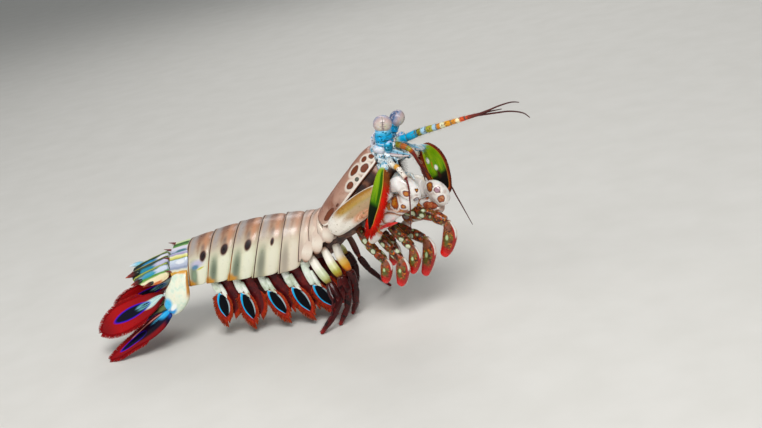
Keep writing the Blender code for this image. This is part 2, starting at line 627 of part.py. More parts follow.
FLAGELLA_R = [[((52.8, -1.2, 74.6), 0.6), ((54.2, 0.3, 67.2), 0.5), ((55.2, 1.4, 61.2), 0.4),
               ((57.4, 2.2, 56.2), 0.25)],
              [((52.8, -1.3, 74.6), 0.6), ((56.6, -0.8, 69.4), 0.5), ((60.0, -0.6, 64.6), 0.4),
               ((63.4, -0.6, 60.8), 0.25)],
              [((52.8, -1.2, 74.8), 0.5), ((54.2, -1.8, 70.4), 0.4), ((55.0, -2.6, 66.8), 0.25)]]
ANTENNA_R = [((42.4, -7.6, 78.8), 1.6), ((43.4, -9.8, 78.0), 2.1), ((46.0, -11.6, 77.3), 1.4),
             ((49.4, -13.0, 76.8), 1.2), ((54.4, -15.8, 72.6), 1.1), ((55.4, -16.8, 69.6), 0.6),
             ((55.5, -17.5, 65.6), 0.5), ((54.4, -18.0, 57.0), 0.45), ((51.8, -18.0, 44.4), 0.25)]
ANTENNA_L = [((42.4, 7.6, 78.8), 1.6), ((44.2, 9.7, 76.8), 2.1), ((44.8, 11.4, 72.0), 1.4),
             ((44.6, 13.2, 68.0), 1.2), ((45.0, 15.8, 62.8), 1.1), ((46.4, 18.8, 59.2), 0.6),
             ((50.3, 23.3, 55.6), 0.5), ((53.4, 23.1, 49.4), 0.45), ((59.4, 22.1, 36.5), 0.25)]


def feeler(name, look, stem, flagella, n=6):
    stations, off = rooted("head", at_front([(p, r, r) for p, r in stem]))
    bms = [limb(stations, UP, n=n, sub=2, tips=(0.0, 0.2), normal=off)]
    for strand in flagella:
        bms.append(limb(at_front([(p, r, r) for p, r in strand]), UP, n=4, sub=1, tips=(0.1, 0.2)))
    return fuse(name, look, bms)


# Points (forward, left, height), half width, half thickness, out to the fringe.
SCALE_R = [((42.2, -13.4, 76.4), 1.2, 0.8), ((41.9, -15.6, 74.4), 2.4, 0.8), ((42.2, -17.4, 71.6), 3.8, 0.8),
           ((42.3, -18.9, 67.5), 4.9, 0.8), ((40.7, -20.4, 62.2), 5.8, 0.8), ((37.5, -21.2, 56.3), 5.6, 0.8),
           ((33.8, -21.2, 50.5), 4.6, 0.6), ((30.0, -20.6, 45.5), 2.6, 0.45), ((28.2, -20.2, 43.3), 0.9, 0.35)]
SCALE_L = [((46.6, 12.2, 77.8), 1.2, 0.8), ((49.6, 13.2, 76.6), 2.8, 0.8), ((51.3, 14.3, 73.0), 4.6, 0.8),
           ((51.8, 15.8, 68.7), 5.6, 0.8), ((51.2, 17.4, 63.9), 5.4, 0.8), ((51.0, 18.4, 59.2), 4.4, 0.6),
           ((51.3, 18.8, 55.7), 2.6, 0.45), ((51.4, 18.9, 53.7), 0.9, 0.35)]


def build_feelers():
    feeler("antennule_L", BLUE, ANTENNULE_L, FLAGELLA_L)
    feeler("antennule_R", BLUE, ANTENNULE_R, FLAGELLA_R)
    feeler("antenna_R", PALE, ANTENNA_R, [])
    feeler("antenna_L", PALE, ANTENNA_L, [])
    for tag, rows, side in (("R", SCALE_R, (1.0, -0.05, -0.15)), ("L", SCALE_L, (0.5, 0.85, 0.0))):
        across = FWD * side[0] + LEFT * side[1] + UP * side[2]
        stations, off = rooted(f"antenna_{tag}", at_front(rows))
        drawn, locks = setae(stations, across, 1.5, 4, 0.3, 0.08, steady=True)
        drawn[0] = stations[0]
        blade = limb(drawn, across, n=8, sub=1, square=0.7, camber=0.08, tips=(0.0, 0.3), normal=off,
                     steady=True)
        fuse(f"antennal_scale_{tag}", GREEN, [blade] + locks)


# ---- claws --------------------------------------------------------------------------------
# Points (forward, left, height), half depth, half thickness, for each claw as it is held.
CLAWS = {
    "R": {
        "merus": [((8.8, -14.6, 47.9), 2.0, 1.8), ((10.2, -15.0, 49.0), 4.2, 2.8),
                  ((14.6, -15.3, 52.1), 5.3, 3.2), ((21.8, -15.3, 56.5), 5.7, 3.3),
                  ((30.4, -15.2, 61.3), 5.6, 3.3), ((38.0, -14.8, 65.1), 4.9, 3.1),
                  ((43.4, -14.6, 67.5), 3.6, 2.8)],
        "carpus": [((46.2, -14.2, 69.0), 3.0, 2.4), ((48.4, -13.6, 69.4), 3.7, 3.0),
                   ((51.6, -12.9, 67.6), 4.2, 3.2), ((53.4, -12.3, 64.4), 4.0, 3.2),
                   ((53.2, -11.9, 62.2), 3.0, 2.6)],
        "propodus": [((54.0, -11.6, 62.6), 3.0, 2.6), ((50.3, -11.5, 61.4), 4.2, 3.2),
                     ((44.4, -11.2, 58.8), 4.5, 3.3), ((38.8, -11.0, 55.4), 4.5, 3.3),
                     ((33.8, -11.2, 50.8), 4.0, 3.1), ((30.8, -11.6, 47.4), 3.0, 2.5)],
        "dactyl": [((29.2, -11.9, 45.4), 2.0, 1.8), ((28.8, -11.9, 43.0), 3.1, 2.6),
                   ((30.6, -11.6, 41.9), 2.8, 2.2), ((34.6, -11.2, 43.6), 1.4, 1.1),
                   ((39.0, -10.8, 46.0), 1.0, 0.8), ((43.0, -10.4, 48.6), 0.3, 0.3)],
    },
    "L": {
        "merus": [((9.0, 14.6, 47.2), 2.0, 1.8), ((11.0, 15.0, 48.6), 4.2, 2.8),
                  ((16.6, 15.2, 51.4), 5.3, 3.2), ((24.0, 15.0, 54.8), 5.7, 3.4),
                  ((32.0, 13.6, 57.8), 5.8, 3.6), ((40.0, 11.4, 59.2), 5.7, 3.9),
                  ((46.0, 10.2, 59.2), 4.6, 3.6)],
        "carpus": [((48.6, 9.7, 58.7), 3.6, 3.0), ((50.8, 9.5, 58.0), 5.0, 3.8),
                   ((53.2, 9.5, 55.2), 5.0, 3.8), ((53.0, 9.6, 51.8), 3.4, 3.0)],
        "propodus": [((52.4, 9.6, 51.2), 3.0, 2.6), ((48.0, 9.8, 49.2), 3.9, 3.1),
                     ((41.8, 10.2, 47.4), 4.0, 3.1), ((36.0, 10.8, 45.6), 3.8, 3.0),
                     ((31.6, 11.2, 43.6), 2.9, 2.4)],
        "dactyl": [((29.6, 11.4, 42.4), 2.0, 1.8), ((27.9, 11.5, 39.7), 2.6, 2.3),
                   ((29.3, 11.4, 38.3), 2.6, 2.1), ((34.0, 11.0, 39.6), 1.4, 1.1),
                   ((39.0, 10.6, 40.9), 1.0, 0.8), ((43.6, 10.2, 42.6), 0.3, 0.3)],
    },
}


def build_claws():
    tall = FWD * -0.6 + UP * 0.8
    for tag, claw in CLAWS.items():
        merus, propodus = f"raptorial_merus_{tag}", f"raptorial_propodus_{tag}"
        side = -1 if tag == "R" else 1
        body = limb(at_front(claw["merus"]), tall, n=12, sub=2, tips=(0.5, 0.2))
        hind = claw["merus"][1][0]
        inside = front(hind[0] + 1.5, hind[1] - side * 2.0, hind[2] + 0.5)
        place, off = seat("thorax_core", inside)
        stub = limb([(place, 1.9, 1.9), (inside + (place - inside) * 0.3, 2.1, 2.1),
                     (front(hind[0] + 3, hind[1], hind[2] + 1.6), 2.0, 2.0)],
                    tall, n=8, sub=1, tips=(0.0, 0.2), normal=off)
        fuse(merus, OLIVE, [body, stub])
        stations, off = rooted(merus, at_front(claw["carpus"]))
        fuse(propodus, WHITE, [limb(at_front(claw["propodus"]), tall, n=10, sub=2),
                               limb(stations, tall, n=10, sub=2, tips=(0.0, 0.2), normal=off)])
        stations, off = rooted(propodus, at_front(claw["dactyl"]), first=(1.4, 1.3))
        solid(f"raptorial_dactyl_{tag}", RED,
              limb(stations, tall, n=10, sub=2, tips=(0.0, 0.2), normal=off))


# ---- maxillipeds --------------------------------------------------------------------------
# Arm joints (forward, left, height), radius, then the hand from its wrist down to its tip.
MAXILLIPEDS = {
    "maxilliped_5_R": ([((15.6, -4.6, 43.6), 1.5), ((19.6, -6.6, 38.6), 1.5), ((25.0, -8.2, 34.8), 1.6),
                        ((28.9, -8.4, 30.9), 1.4)],
                       [((28.9, -8.4, 31.4), 1.6), ((29.3, -8.4, 27.9), 3.1), ((27.9, -8.4, 23.2), 2.8),
                        ((26.4, -8.4, 19.8), 0.9)]),
    "maxilliped_4_R": ([((22.0, -4.4, 49.4), 1.5), ((27.0, -6.0, 41.6), 1.5), ((32.6, -6.8, 35.6), 1.6),
                        ((37.0, -7.4, 31.4), 1.4)],
                       [((37.2, -7.5, 32.0), 1.7), ((37.5, -7.5, 27.8), 3.5), ((35.7, -7.5, 22.1), 3.0),
                        ((33.8, -7.5, 18.2), 0.9)]),
    "maxilliped_3_R": ([((28.0, -3.8, 54.8), 1.5), ((32.6, -4.2, 46.4), 1.5), ((38.6, -4.0, 39.6), 1.6),
                        ((41.9, -3.8, 35.8), 1.4)],
                       [((42.0, -3.8, 36.2), 1.7), ((42.6, -3.8, 31.5), 3.2), ((40.9, -3.8, 26.7), 2.8),
                        ((39.0, -3.8, 22.9), 0.9)]),
    "maxilliped_5_L": ([((15.6, 4.6, 43.6), 1.5), ((18.6, 5.6, 39.2), 1.5), ((22.6, 6.0, 36.2), 1.6),
                        ((25.4, 6.0, 33.0), 1.4)],
                       [((25.5, 6.0, 33.6), 1.6), ((25.6, 6.0, 29.8), 3.0), ((23.8, 6.0, 25.6), 2.7),
                        ((22.0, 6.0, 22.3), 0.9)]),
    "maxilliped_4_L": ([((22.0, 4.4, 49.4), 1.5), ((28.6, 4.4, 42.6), 1.5), ((37.0, 4.5, 39.4), 1.6),
                        ((43.6, 4.5, 36.2), 1.5)],
                       [((44.3, 4.5, 37.0), 1.8), ((45.4, 4.5, 31.7), 3.5), ((43.1, 4.5, 24.7), 3.1),
                        ((39.6, 4.5, 17.6), 0.9)]),
    "maxilliped_3_L": ([((28.0, 2.2, 54.6), 1.5), ((34.0, 2.0, 51.6), 1.5), ((42.3, 2.6, 50.6), 1.7),
                        ((51.2, 4.2, 47.8), 1.8), ((56.6, 5.0, 44.8), 1.6)],
                       [((57.0, 5.0, 45.0), 1.8), ((57.6, 5.0, 39.6), 3.5), ((55.2, 5.0, 33.2), 3.2),
                        ((51.4, 5.0, 27.6), 0.9)]),
}


def build_maxillipeds():
    for name, (arm, hand) in MAXILLIPEDS.items():
        stations, off = rooted("thorax_core", at_front([(p, r, r * 0.9) for p, r in arm]))
        bms = [limb(stations, UP, n=7, sub=1, tips=(0.0, 0.2), normal=off),
               limb(at_front([(p, r, r * 0.66) for p, r in hand]), FWD, n=8, sub=2, tips=(0.4, 0.3))]
        fuse(name, PALP, bms)


def clear_scene():
    for ob in list(bpy.data.objects):
        bpy.data.objects.remove(ob)


def main():
    clear_scene()
    build_tail()
    build_abdomen_6()
    build_telson()
    build_uropods()
    build_pleopods()
    build_walking_legs()
    build_carapace()
    build_core()
    build_head()
    build_mouth()
    build_eyes()
    build_feelers()
    build_claws()
    build_maxillipeds()


main()
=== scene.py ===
"""Looks of the peacock mantis shrimp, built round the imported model.

Shapes are made in millimetres in the model's frame before SHIFT, and piece() turns them to
metres. Tail along -X, head along +X, left side +Y. Every shape carries the attribute "place",
which the finishes read: how far along, how far across, and a third value told at each shape.
"""
import math
import random

import bmesh
import bpy
from mathutils import Matrix, Vector


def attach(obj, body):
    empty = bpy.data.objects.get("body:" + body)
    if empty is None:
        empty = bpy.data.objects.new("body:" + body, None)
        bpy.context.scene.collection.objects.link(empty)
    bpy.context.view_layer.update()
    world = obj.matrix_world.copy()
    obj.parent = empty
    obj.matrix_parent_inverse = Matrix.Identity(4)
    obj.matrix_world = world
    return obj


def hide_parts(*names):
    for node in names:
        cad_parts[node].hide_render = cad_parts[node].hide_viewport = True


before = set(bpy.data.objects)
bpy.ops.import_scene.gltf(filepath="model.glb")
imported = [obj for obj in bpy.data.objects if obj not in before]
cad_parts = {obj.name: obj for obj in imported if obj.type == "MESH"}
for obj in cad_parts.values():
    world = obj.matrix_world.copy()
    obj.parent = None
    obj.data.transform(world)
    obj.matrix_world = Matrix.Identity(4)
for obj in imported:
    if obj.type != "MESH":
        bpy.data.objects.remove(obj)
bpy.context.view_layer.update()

MM = 0.001
PATCH = 0.003  # side of one bristle's patch in the map OFBake
SHIFT = Vector((-0.1, 12.6, 0))
UP = Vector((0, 0, 1))
EYE_LINE = Vector((0.132, -0.942, 0.309))  # from the animal to the place it is seen from

# from the middle of the back to the lower edge, as "place" tells it on each kind of plate
ARC_LENGTH, CARAPACE_ARC, A6_ARC = 20, 18, 13.5

# The raised front yaws to the right and pitches up.
FRONT_O = Vector((13.2, -2.7, 46.2))
FWD = Vector((math.cos(math.radians(-28)), math.sin(math.radians(-28)), 0))
LEFT = Vector((-FWD.y, FWD.x, 0))
PITCH = (math.cos(math.radians(42.8)), math.sin(math.radians(42.8)))


def front(f, lat, z):
    """Point of the raised front: forward of FRONT_O, to the left, and height above the floor."""
    return FRONT_O + FWD * f + LEFT * lat + UP * (z - FRONT_O.z)


def trunk(s, lat, h):
    """Point along the carapace's side edge: s forward along it, h towards the back."""
    c, d = PITCH
    return front(4.1 + s * c - h * d, lat, 48 + s * d + h * c)


def at_front(stations):
    """Stations given in the raised front's own frame, as stations of the model."""
    return [(front(*p), *rest) for p, *rest in stations]


# ---- finishes -----------------------------------------------------------------------------
def srgb(code):
    """Linear colour of an sRGB hex value."""
    parts = [int(code[i:i + 2], 16) / 255 for i in (1, 3, 5)]
    return (*(c / 12.92 if c <= 0.04045 else ((c + 0.055) / 1.055) ** 2.4 for c in parts), 1)


def add(tree, kind, inputs, out=None, stops=None, easing="EASE", **settings):
    """Add one shader node with its settings, input values and links.

    A ramp's stops are told as text: each place along it, then its colour.
    """
    node = tree.nodes.new("ShaderNode" + kind)
    for key, value in settings.items():
        setattr(node, key, value)
    if stops:
        stops = stops.split()
        ramp = node.color_ramp
        ramp.interpolation = easing
        while len(ramp.elements) < len(stops) // 2:
            ramp.elements.new(0.5)
        for element, at, tint in zip(ramp.elements, stops[::2], stops[1::2]):
            element.position = float(at)
            element.color = srgb(tint)
    for key, value in inputs.items():
        if isinstance(value, bpy.types.NodeSocket):
            tree.links.new(value, node.inputs[key])
        else:
            node.inputs[key].default_value = srgb(value) if isinstance(value, str) else value
    return node.outputs[out] if out else next(o for o in node.outputs if o.enabled)


def finish(name, rough=0.3, coat=0.12, soft=0, gloss=0.5):
    """Material of cuticle, with the sockets that are the same all over it."""
    mat = bpy.data.materials.new(name)
    mat.use_nodes = True
    tree = mat.node_tree
    shader = tree.nodes["Principled BSDF"].inputs
    shader["Roughness"].default_value = rough
    shader["IOR"].default_value = 1.55        # chitin with lime in it
    shader["Coat Weight"].default_value = coat  # the wet skin over it
    shader["Coat Roughness"].default_value = 0.12
    shader["Specular IOR Level"].default_value = gloss
    shader["Subsurface Weight"].default_value = soft
    shader["Subsurface Radius"].default_value = (0.0012, 0.0007, 0.0004)
    shader["Subsurface Scale"].default_value = 1
    place = add(tree, "Attribute", {}, out="Vector", attribute_name="place")
    spot = add(tree, "TexCoord", {}, out="Object")
    mm = add(tree, "VectorMath", {0: spot, 1: (1000, 1000, 1000), 2: tuple(-SHIFT)}, operation="MULTIPLY_ADD")
    return mat, tree, place, mm


def stripe(tree, value, low, high, edge):
    """1 where a value lies between low and high, with soft edges."""
    rise = add(tree, "MapRange", {0: value, 1: low - edge, 2: low + edge}, interpolation_type="SMOOTHSTEP")
    fall = add(tree, "MapRange", {0: value, 1: high - edge, 2: high + edge, 3: 1, 4: 0},
        interpolation_type="SMOOTHSTEP")
    return add(tree, "Math", {0: rise, 1: fall}, operation="MULTIPLY")


def oval(tree, vector, middle, size, edge=0.15, turn=(0, 0, 0)):
    """1 inside an oval or egg of the given half sizes, with a soft edge."""
    near = add(tree, "Mapping", {0: vector, 1: middle, 2: turn, 3: size}, vector_type="TEXTURE")
    far = add(tree, "VectorMath", {0: near}, operation="LENGTH")
    return add(tree, "MapRange", {0: far, 1: 1 - edge, 2: 1 + edge, 3: 1, 4: 0},
        interpolation_type="SMOOTHSTEP")


def ring_mark(tree, vector, middle, size, width, edge):
    """1 on the outline of an oval."""
    outer = tuple(s + width for s in size)
    a = oval(tree, vector, middle, outer, edge)
    b = oval(tree, vector, middle, size, edge)
    return add(tree, "Math", {0: a, 1: b}, operation="SUBTRACT", use_clamp=True)


def cloud(tree, vector, size, low, high, detail=2):
    """Cloudy mottle whose patches are about size across, 0 under low and 1 over high."""
    grain = add(tree, "TexNoise", {"Vector": vector, "Scale": 1 / size, "Detail": detail})
    return add(tree, "MapRange", {0: grain, 1: low, 2: high}, interpolation_type="SMOOTHSTEP")


def wavy(tree, vector, size, amount):
    """The same places, pushed about by up to amount, so that a mark's edge isn't a ruled one."""
    push = add(tree, "TexNoise", {"Vector": vector, "Scale": 1 / size, "Detail": 1}, out="Color")
    push = add(tree, "VectorMath", {0: push, 1: (0.5, 0.5, 0.5)}, operation="SUBTRACT")
    push = add(tree, "VectorMath", {0: push, "Scale": amount}, operation="SCALE")
    return add(tree, "VectorMath", {0: vector, 1: push}, operation="ADD")


def painted(tree, base, marks):
    """Colour with marks laid one over the other: (where, tint), or where several places meet."""
    for where, *others, tint in marks:
        for other in others:
            where = add(tree, "Math", {0: where, 1: other}, operation="MULTIPLY")
        base = add(tree, "Mix", {0: where, 6: base, 7: tint}, data_type="RGBA")
    return base


def cuticle(mat, base, marks, mm, pits, depth=0.03, rough=(0.24, 0.42)):
    """The material with its marks, fine pitting and uneven gloss. pits and depth are in mm."""
    tree, shader = mat.node_tree, mat.node_tree.nodes["Principled BSDF"].inputs
    tree.links.new(painted(tree, base, marks), shader["Base Color"])
    grain = add(tree, "TexNoise", {"Vector": mm, "Scale": 1 / pits, "Detail": 3})
    bump = add(tree, "Bump", {"Height": grain, "Strength": 0.6, "Distance": depth * MM})
    tree.links.new(bump, shader["Normal"])
    wear = add(tree, "TexNoise", {"Vector": mm, "Scale": 0.35, "Detail": 2})
    gloss = add(tree, "MapRange", {0: wear, 1: 0.3, 2: 0.7, 3: rough[0], 4: rough[1]})
    tree.links.new(gloss, shader["Roughness"])
    return mat


def plate_finish(name, length, spot, spot_size, rim, blue, rosy):
    """Tail ring: tan back with painted shade at its top and painted shadow bands, mint-cream sides with soft
    grey bars, a dark line at the hind edge.
    """
    mat, tree, place, mm = finish(name, coat=0.2, soft=0.05, gloss=0.35)
    side = add(tree, "VectorMath", {0: place}, operation="ABSOLUTE")
    x, q, _ = add(tree, "SeparateXYZ", {0: wavy(tree, side, 2.5, 0.9)}).node.outputs
    clean_x, clean_q, _ = add(tree, "SeparateXYZ", {0: side}).node.outputs
    down = add(tree, "Math", {0: q, 1: ARC_LENGTH}, operation="DIVIDE")
    # the darkest brown at the top of the back is partly the tan back's own colour and partly painted shade
    base = add(tree, "ValToRGB", {0: down}, stops=("0 #7c4e38 0.13 #9a6c52 0.28 #ac8a70 0.44 #bcaa92 "
        "0.6 #cbc4a9 0.78 #dad9bb 0.92 #d4d3b3 1 #bcb68c"))
    high = add(tree, "MapRange", {0: q, 1: 13, 2: 6}, interpolation_type="SMOOTHSTEP")
    low = add(tree, "MapRange", {0: q, 1: 10.5, 2: 14.5}, interpolation_type="SMOOTHSTEP")
    marks = [(stripe(tree, x, length * 0.04, length * 0.32, 1.5), high, "#a69c96"),
        # a narrow brown band across the back: painted shadow
        (stripe(tree, x, length * 0.42, length * 0.50, 0.9), high, "#8c6650"),
        (stripe(tree, x, length * 0.64, length * 0.84, 1.2), high, "#be8866"),
        (stripe(tree, x, length * 0.10, length * 0.34, 1.3), low, "#9aa28a"),
        (stripe(tree, x, length * 0.48, length * 0.90, 1.6), low, "#e2e1c9"),
        (oval(tree, side, (length * 0.24, 17.3, 0), (1.7, 3, 9), 0.8), "#6a7460")]
    if rosy:
        tint = add(tree, "MapRange", {0: down, 1: 0.1, 2: 0.9, 3: rosy * 0.4, 4: rosy})
        marks.append((tint, "#dcc3b4"))
    if blue:
        marks += [(oval(tree, side, (length * 0.44, 13.6, 0), (3.2, 1.3, 9), 0.7), "#b9b4c9"),
            (oval(tree, side, (length * 0.34, 14.7, 0), (1.7, 0.8, 9), 0.6), "#55809c"),
            (oval(tree, side, (length * 0.60, 15.4, 0), (1.8, 0.30, 9), 0.5, (0, 0, -0.15)), "#c8c44a"),
            (oval(tree, side, (length * 0.28, 17.4, 0), (1.2, 1.6, 9), 0.7), "#7f9478")]
    if spot:
        shadow = (spot[0] - 0.4, spot[1] - 2.6, 0)
        marks += [(oval(tree, side, shadow, (0.9, 2.2, 9), 0.7), high, "#7c6458"),
            (oval(tree, side, (*spot, 0), (*(s + 0.35 for s in spot_size), 9), 0.25), "#6c4634"),
            (oval(tree, side, (*spot, 0), (*spot_size, 9), 0.14), "#2a0806"),
            (oval(tree, side, (*spot, 0), (*(s * 0.55 for s in spot_size), 9), 0.5), "#120202")]
    if rim:
        corner = add(tree, "MapRange", {0: clean_q, 1: 18.9, 2: 19.6}, interpolation_type="SMOOTHSTEP")
        marks += [(corner, stripe(tree, clean_x, -2, length * 0.3, 1.4), "#c98a14"),
            (oval(tree, side, (0.4, 19.8, 0), (1.5, 1.3, 9), 0.5), "#c08420")]
    # the tan band just ahead of the hind edge's dark line is painted shadow
    marks += [(stripe(tree, clean_x, 0.35, 0.85, 0.25), high, "#b39a84"),
        (stripe(tree, clean_x, -3, 0.24, 0.12), "#42200f")]
    if rim:
        lower = add(tree, "MapRange", {0: clean_q, 1: 12, 2: 16}, interpolation_type="SMOOTHSTEP")
        marks.append((lower, stripe(tree, clean_x, -0.3, 0.22, 0.12), "#a0601a"))
    return cuticle(mat, base, marks, mm, 0.7, 0.03)


def leopard_cuticle():
    """Carapace: rose-brown, with brown ovals in a white net near its edge, and a white edge."""
    mat, tree, place, mm = finish("leopard_cuticle_carapace", coat=0.15, soft=0.05, gloss=0.3)
    side = add(tree, "VectorMath", {0: place}, operation="ABSOLUTE")
    _, q, _ = add(tree, "SeparateXYZ", {0: side}).node.outputs
    s = add(tree, "SeparateXYZ", {0: place})
    down = add(tree, "Math", {0: q, 1: CARAPACE_ARC}, operation="DIVIDE")
    base = add(tree, "ValToRGB", {0: down}, stops=("0 #94644c 0.3 #a0705a 0.55 #ac7e6a 0.8 #b8917e "
        "1 #c8aa98"))
    marks = [(cloud(tree, mm, 7, 0.42, 0.72), "#8e5e4a"), (cloud(tree, mm, 2.2, 0.55, 0.8), "#ae8674")]
    net = add(tree, "VectorMath", {0: wavy(tree, place, 3, 0.7)}, operation="ABSOLUTE")
    ovals = [((45.2, 14.2), (1.4, 1.8)), ((41.6, 11.6), (1.9, 1.6)), ((38.2, 15.4), (2.8, 1.9)),
        ((33.2, 11.6), (3.4, 2)), ((31, 15.9), (1.2, 1)), ((26, 15), (2.4, 1.5)), ((13.2, 15.9), (1.1, 0.5)),
        ((5.9, 15.3), (4.5, 1.5))]
    for at, size in ovals[:6]:
        marks.append((oval(tree, net, (*at, 0), (size[0] + 1.5, size[1] + 1.25, 99), 0.2), "#ddcfc0"))
    for at, size in ovals:
        rim, brown = ("#34342c", "#56564a") if at == (31, 15.9) else ("#3c1404", "#702f08")
        marks += [(oval(tree, net, (*at, 0), (*size, 99), 0.10), rim),
            (oval(tree, net, (*at, 0), (*(k - 0.28 for k in size), 99), 0.14), brown)]
    marks.append((stripe(tree, q, 17, 99, 0.22), "#efe6da"))
    marks.append((stripe(tree, q, 17.75, 99, 0.1), "#6a3a22"))
    marks.append((stripe(tree, s, -9, -1.3, 0.2), "#7c5546"))
    return cuticle(mat, base, marks, mm, 0.9, 0.04)


def side_skin():
    """Bare leathery skin of the thorax: dark brown, softly creased."""
    mat, tree, place, mm = finish("bare_thorax_skin", coat=0.1, soft=0.05)
    base = add(tree, "ValToRGB", {0: cloud(tree, mm, 4, 0.35, 0.7)}, stops="0 #2c120c 0.5 #4c2416 1 #7a4c34")
    s, _, h = add(tree, "SeparateXYZ", {0: wavy(tree, place, 2, 1.2)}).node.outputs
    cheek = (stripe(tree, s, 39.5, 99, 0.8), stripe(tree, h, -5, 9, 0.6), "#c9a294")
    return cuticle(mat, base, [cheek], mm, 1.6, 0.15, (0.4, 0.6))


def pearl_cuticle(name, pale, blue, speck, flush="#2a90b8"):
    """Head shell: pale, cloudy blue, with fine dark specks and small white flecks of painted highlight."""
    mat, tree, place, mm = finish(name, coat=0.2, soft=0.08)
    colour = add(tree, "ValToRGB", {0: cloud(tree, mm, 2.8, 0.32, 0.68, 1)},
        stops=f"0 {blue} 0.5 {pale} 0.8 #e2e4e6 1 {pale}")
    marks = [(cloud(tree, mm, 2.2, 0.57, 0.64, 1), flush), (cloud(tree, mm, 1.5, 0.57, 0.62, 1), speck),
        # small white flecks: painted highlight
        (cloud(tree, mm, 1.3, 0.62, 0.67, 1), "#f2f2f0")]
    return cuticle(mat, colour, marks, mm, 0.9, 0.06)


def process_finish():
    """Pointed plate beside the feelers: pale blue above, pink-white along its lower edge."""
    mat, tree, place, mm = finish("pearl_cuticle_process", coat=0.2, soft=0.08)
    _, up, _ = add(tree, "SeparateXYZ", {0: wavy(tree, place, 0.7, 0.2)}).node.outputs
    base = add(tree, "ValToRGB", {0: add(tree, "MapRange", {0: up, 1: -1, 2: 1})}, stops=("0 #e9ccc8 "
        "0.25 #f0ece8 0.42 #c2949c 0.5 #8fb4c4 0.75 #5f9cb8 1 #b4d4e0"))
    return cuticle(mat, base, [(cloud(tree, mm, 1.2, 0.6, 0.66, 1), "#3c5a68")], mm, 0.6, 0.04)


def stalk_cuticle(name="cyan_cuticle_stalk", middle="#049cd4"):
    """Eyestalk: bright cyan with teal outlines, a pale collar under the eye that is partly painted highlight,
    and flecks of painted highlight.
    """
    mat, tree, place, mm = finish(name, coat=0.15, gloss=0.15)
    along = add(tree, "SeparateXYZ", {0: wavy(tree, place, 0.8, 0.1)})
    # paler at the top under the eye: the collar's own colour and painted highlight
    base = add(tree, "ValToRGB", {0: along},
        stops=f"0 #a4c8e4 0.12 #3cb4e0 0.3 {middle} 0.62 {middle} 0.74 #2cb4e4 0.84 #84c8ec 1 #b4bcdc")
    ragged = cloud(tree, mm, 2.6, 0.44, 0.54, 1)
    # the light cyan flecks are painted highlight; the darker cyan ones are the stalk's own
    marks = [(cloud(tree, mm, 2.4, 0.56, 0.64, 1), "#0a86ac"), (cloud(tree, mm, 1.5, 0.63, 0.68, 1), "#8fdcf4"),
        (stripe(tree, along, 0.34, 0.41, 0.02), ragged, "#086478"),
        (stripe(tree, along, 0.20, 0.24, 0.02), ragged, "#c4dcf0"),
        (stripe(tree, along, 0.64, 0.68, 0.015), ragged, "#0a6c84"),
        (cloud(tree, mm, 1.2, 0.64, 0.7, 1), "#075468")]
    return cuticle(mat, base, marks, mm, 0.8, 0.06)


def cornea():
    """Compound eye: pearly facets, a dark band of larger ones through the middle."""
    mat, tree, place, mm = finish("faceted_cornea", rough=0.3, coat=0.2, gloss=0.25)
    x, _, z = add(tree, "SeparateXYZ", {0: place}).node.outputs
    off = add(tree, "Math", {0: x}, operation="ABSOLUTE")
    rim = add(tree, "VectorMath", {0: place, 1: (0, 1, 0)}, operation="DOT_PRODUCT")
    # darker and bluer away from the way the eye looks: partly the eye's own blue-grey rim, partly painted shade
    # towards its outline
    base = add(tree, "ValToRGB", {0: add(tree, "MapRange", {0: rim, 1: -0.2, 2: 1})}, stops=("0 #3c5880 "
        "0.12 #7c8cac 0.3 #a49cac 0.6 #c0a8a4 0.85 #c8bcb0 1 #cec8ac"))
    ahead = stripe(tree, rim, 0.2, 9, 0.1)
    marks = [(cloud(tree, mm, 1.6, 0.5, 0.75), "#d9b9b4"), (cloud(tree, mm, 1.1, 0.55, 0.75), "#cfd0dc"),
        (stripe(tree, off, -1, 0.16, 0.04), ahead, "#cbbab2"),
        (stripe(tree, off, 0.14, 0.16, 0.02), ahead, "#a08e92"),
        (stripe(tree, off, -1, 0.03, 0.015), ahead, "#1c1214")]
    for at, reach in ((-0.62, 0.12), (-0.40, 0.20), (-0.16, 0.14), (0.06, 0.30), (0.28, 0.16), (0.50, 0.22)):
        tick = stripe(tree, z, at, at + 0.04, 0.014)
        marks.append((tick, stripe(tree, off, -1, reach, 0.04), ahead, "#3c2c30"))
    marks.append((stripe(tree, z, -9, -0.80, 0.06), "#86b4d4"))
    shader = tree.nodes["Principled BSDF"].inputs
    tree.links.new(painted(tree, base, marks), shader["Base Color"])
    # facets are about 0.05 mm in life, drawn at 0.22 mm so that they show
    facets = add(tree, "TexVoronoi", {"Vector": mm, "Scale": 4.5, "Randomness": 0.4}, feature="F1")
    bump = add(tree, "Bump", {"Height": facets, "Strength": 0.35, "Distance": 0.04 * MM}, invert=True)
    tree.links.new(bump, shader["Normal"])
    return mat


def banded_feeler(name, stops, joints):
    """Feeler cuticle: colours in bands along it, darker at the joints."""
    mat, tree, place, mm = finish(name, coat=0.15, gloss=0.25)
    along = add(tree, "SeparateXYZ", {0: place})
    along = add(tree, "Math", {0: along, 1: 2}, operation="DIVIDE")
    base = add(tree, "ValToRGB", {0: along}, stops=stops, easing="LINEAR")
    marks = [(cloud(tree, mm, 0.9, 0.56, 0.68), "#5a2a12")]
    for at in joints:
        marks.append((stripe(tree, along, at - 0.002, at + 0.002, 0.003), "#3f5a56"))
    return cuticle(mat, base, marks, mm, 0.4, 0.03)


def plain_cuticle(name, stops, size=2, coat=0.2, gloss=0.5, by_place=False):
    """Cuticle whose colour runs through the stops, cloudily or along the piece."""
    mat, tree, place, mm = finish(name, coat=coat, gloss=gloss)
    along = add(tree, "SeparateXYZ", {0: wavy(tree, place, 0.5, 0.03)})
    value = along if by_place else cloud(tree, mm, size, 0.3, 0.7)
    base = add(tree, "ValToRGB", {0: value}, stops=stops)
    return cuticle(mat, base, (), mm, 0.6, 0.04, (0.22, 0.4))


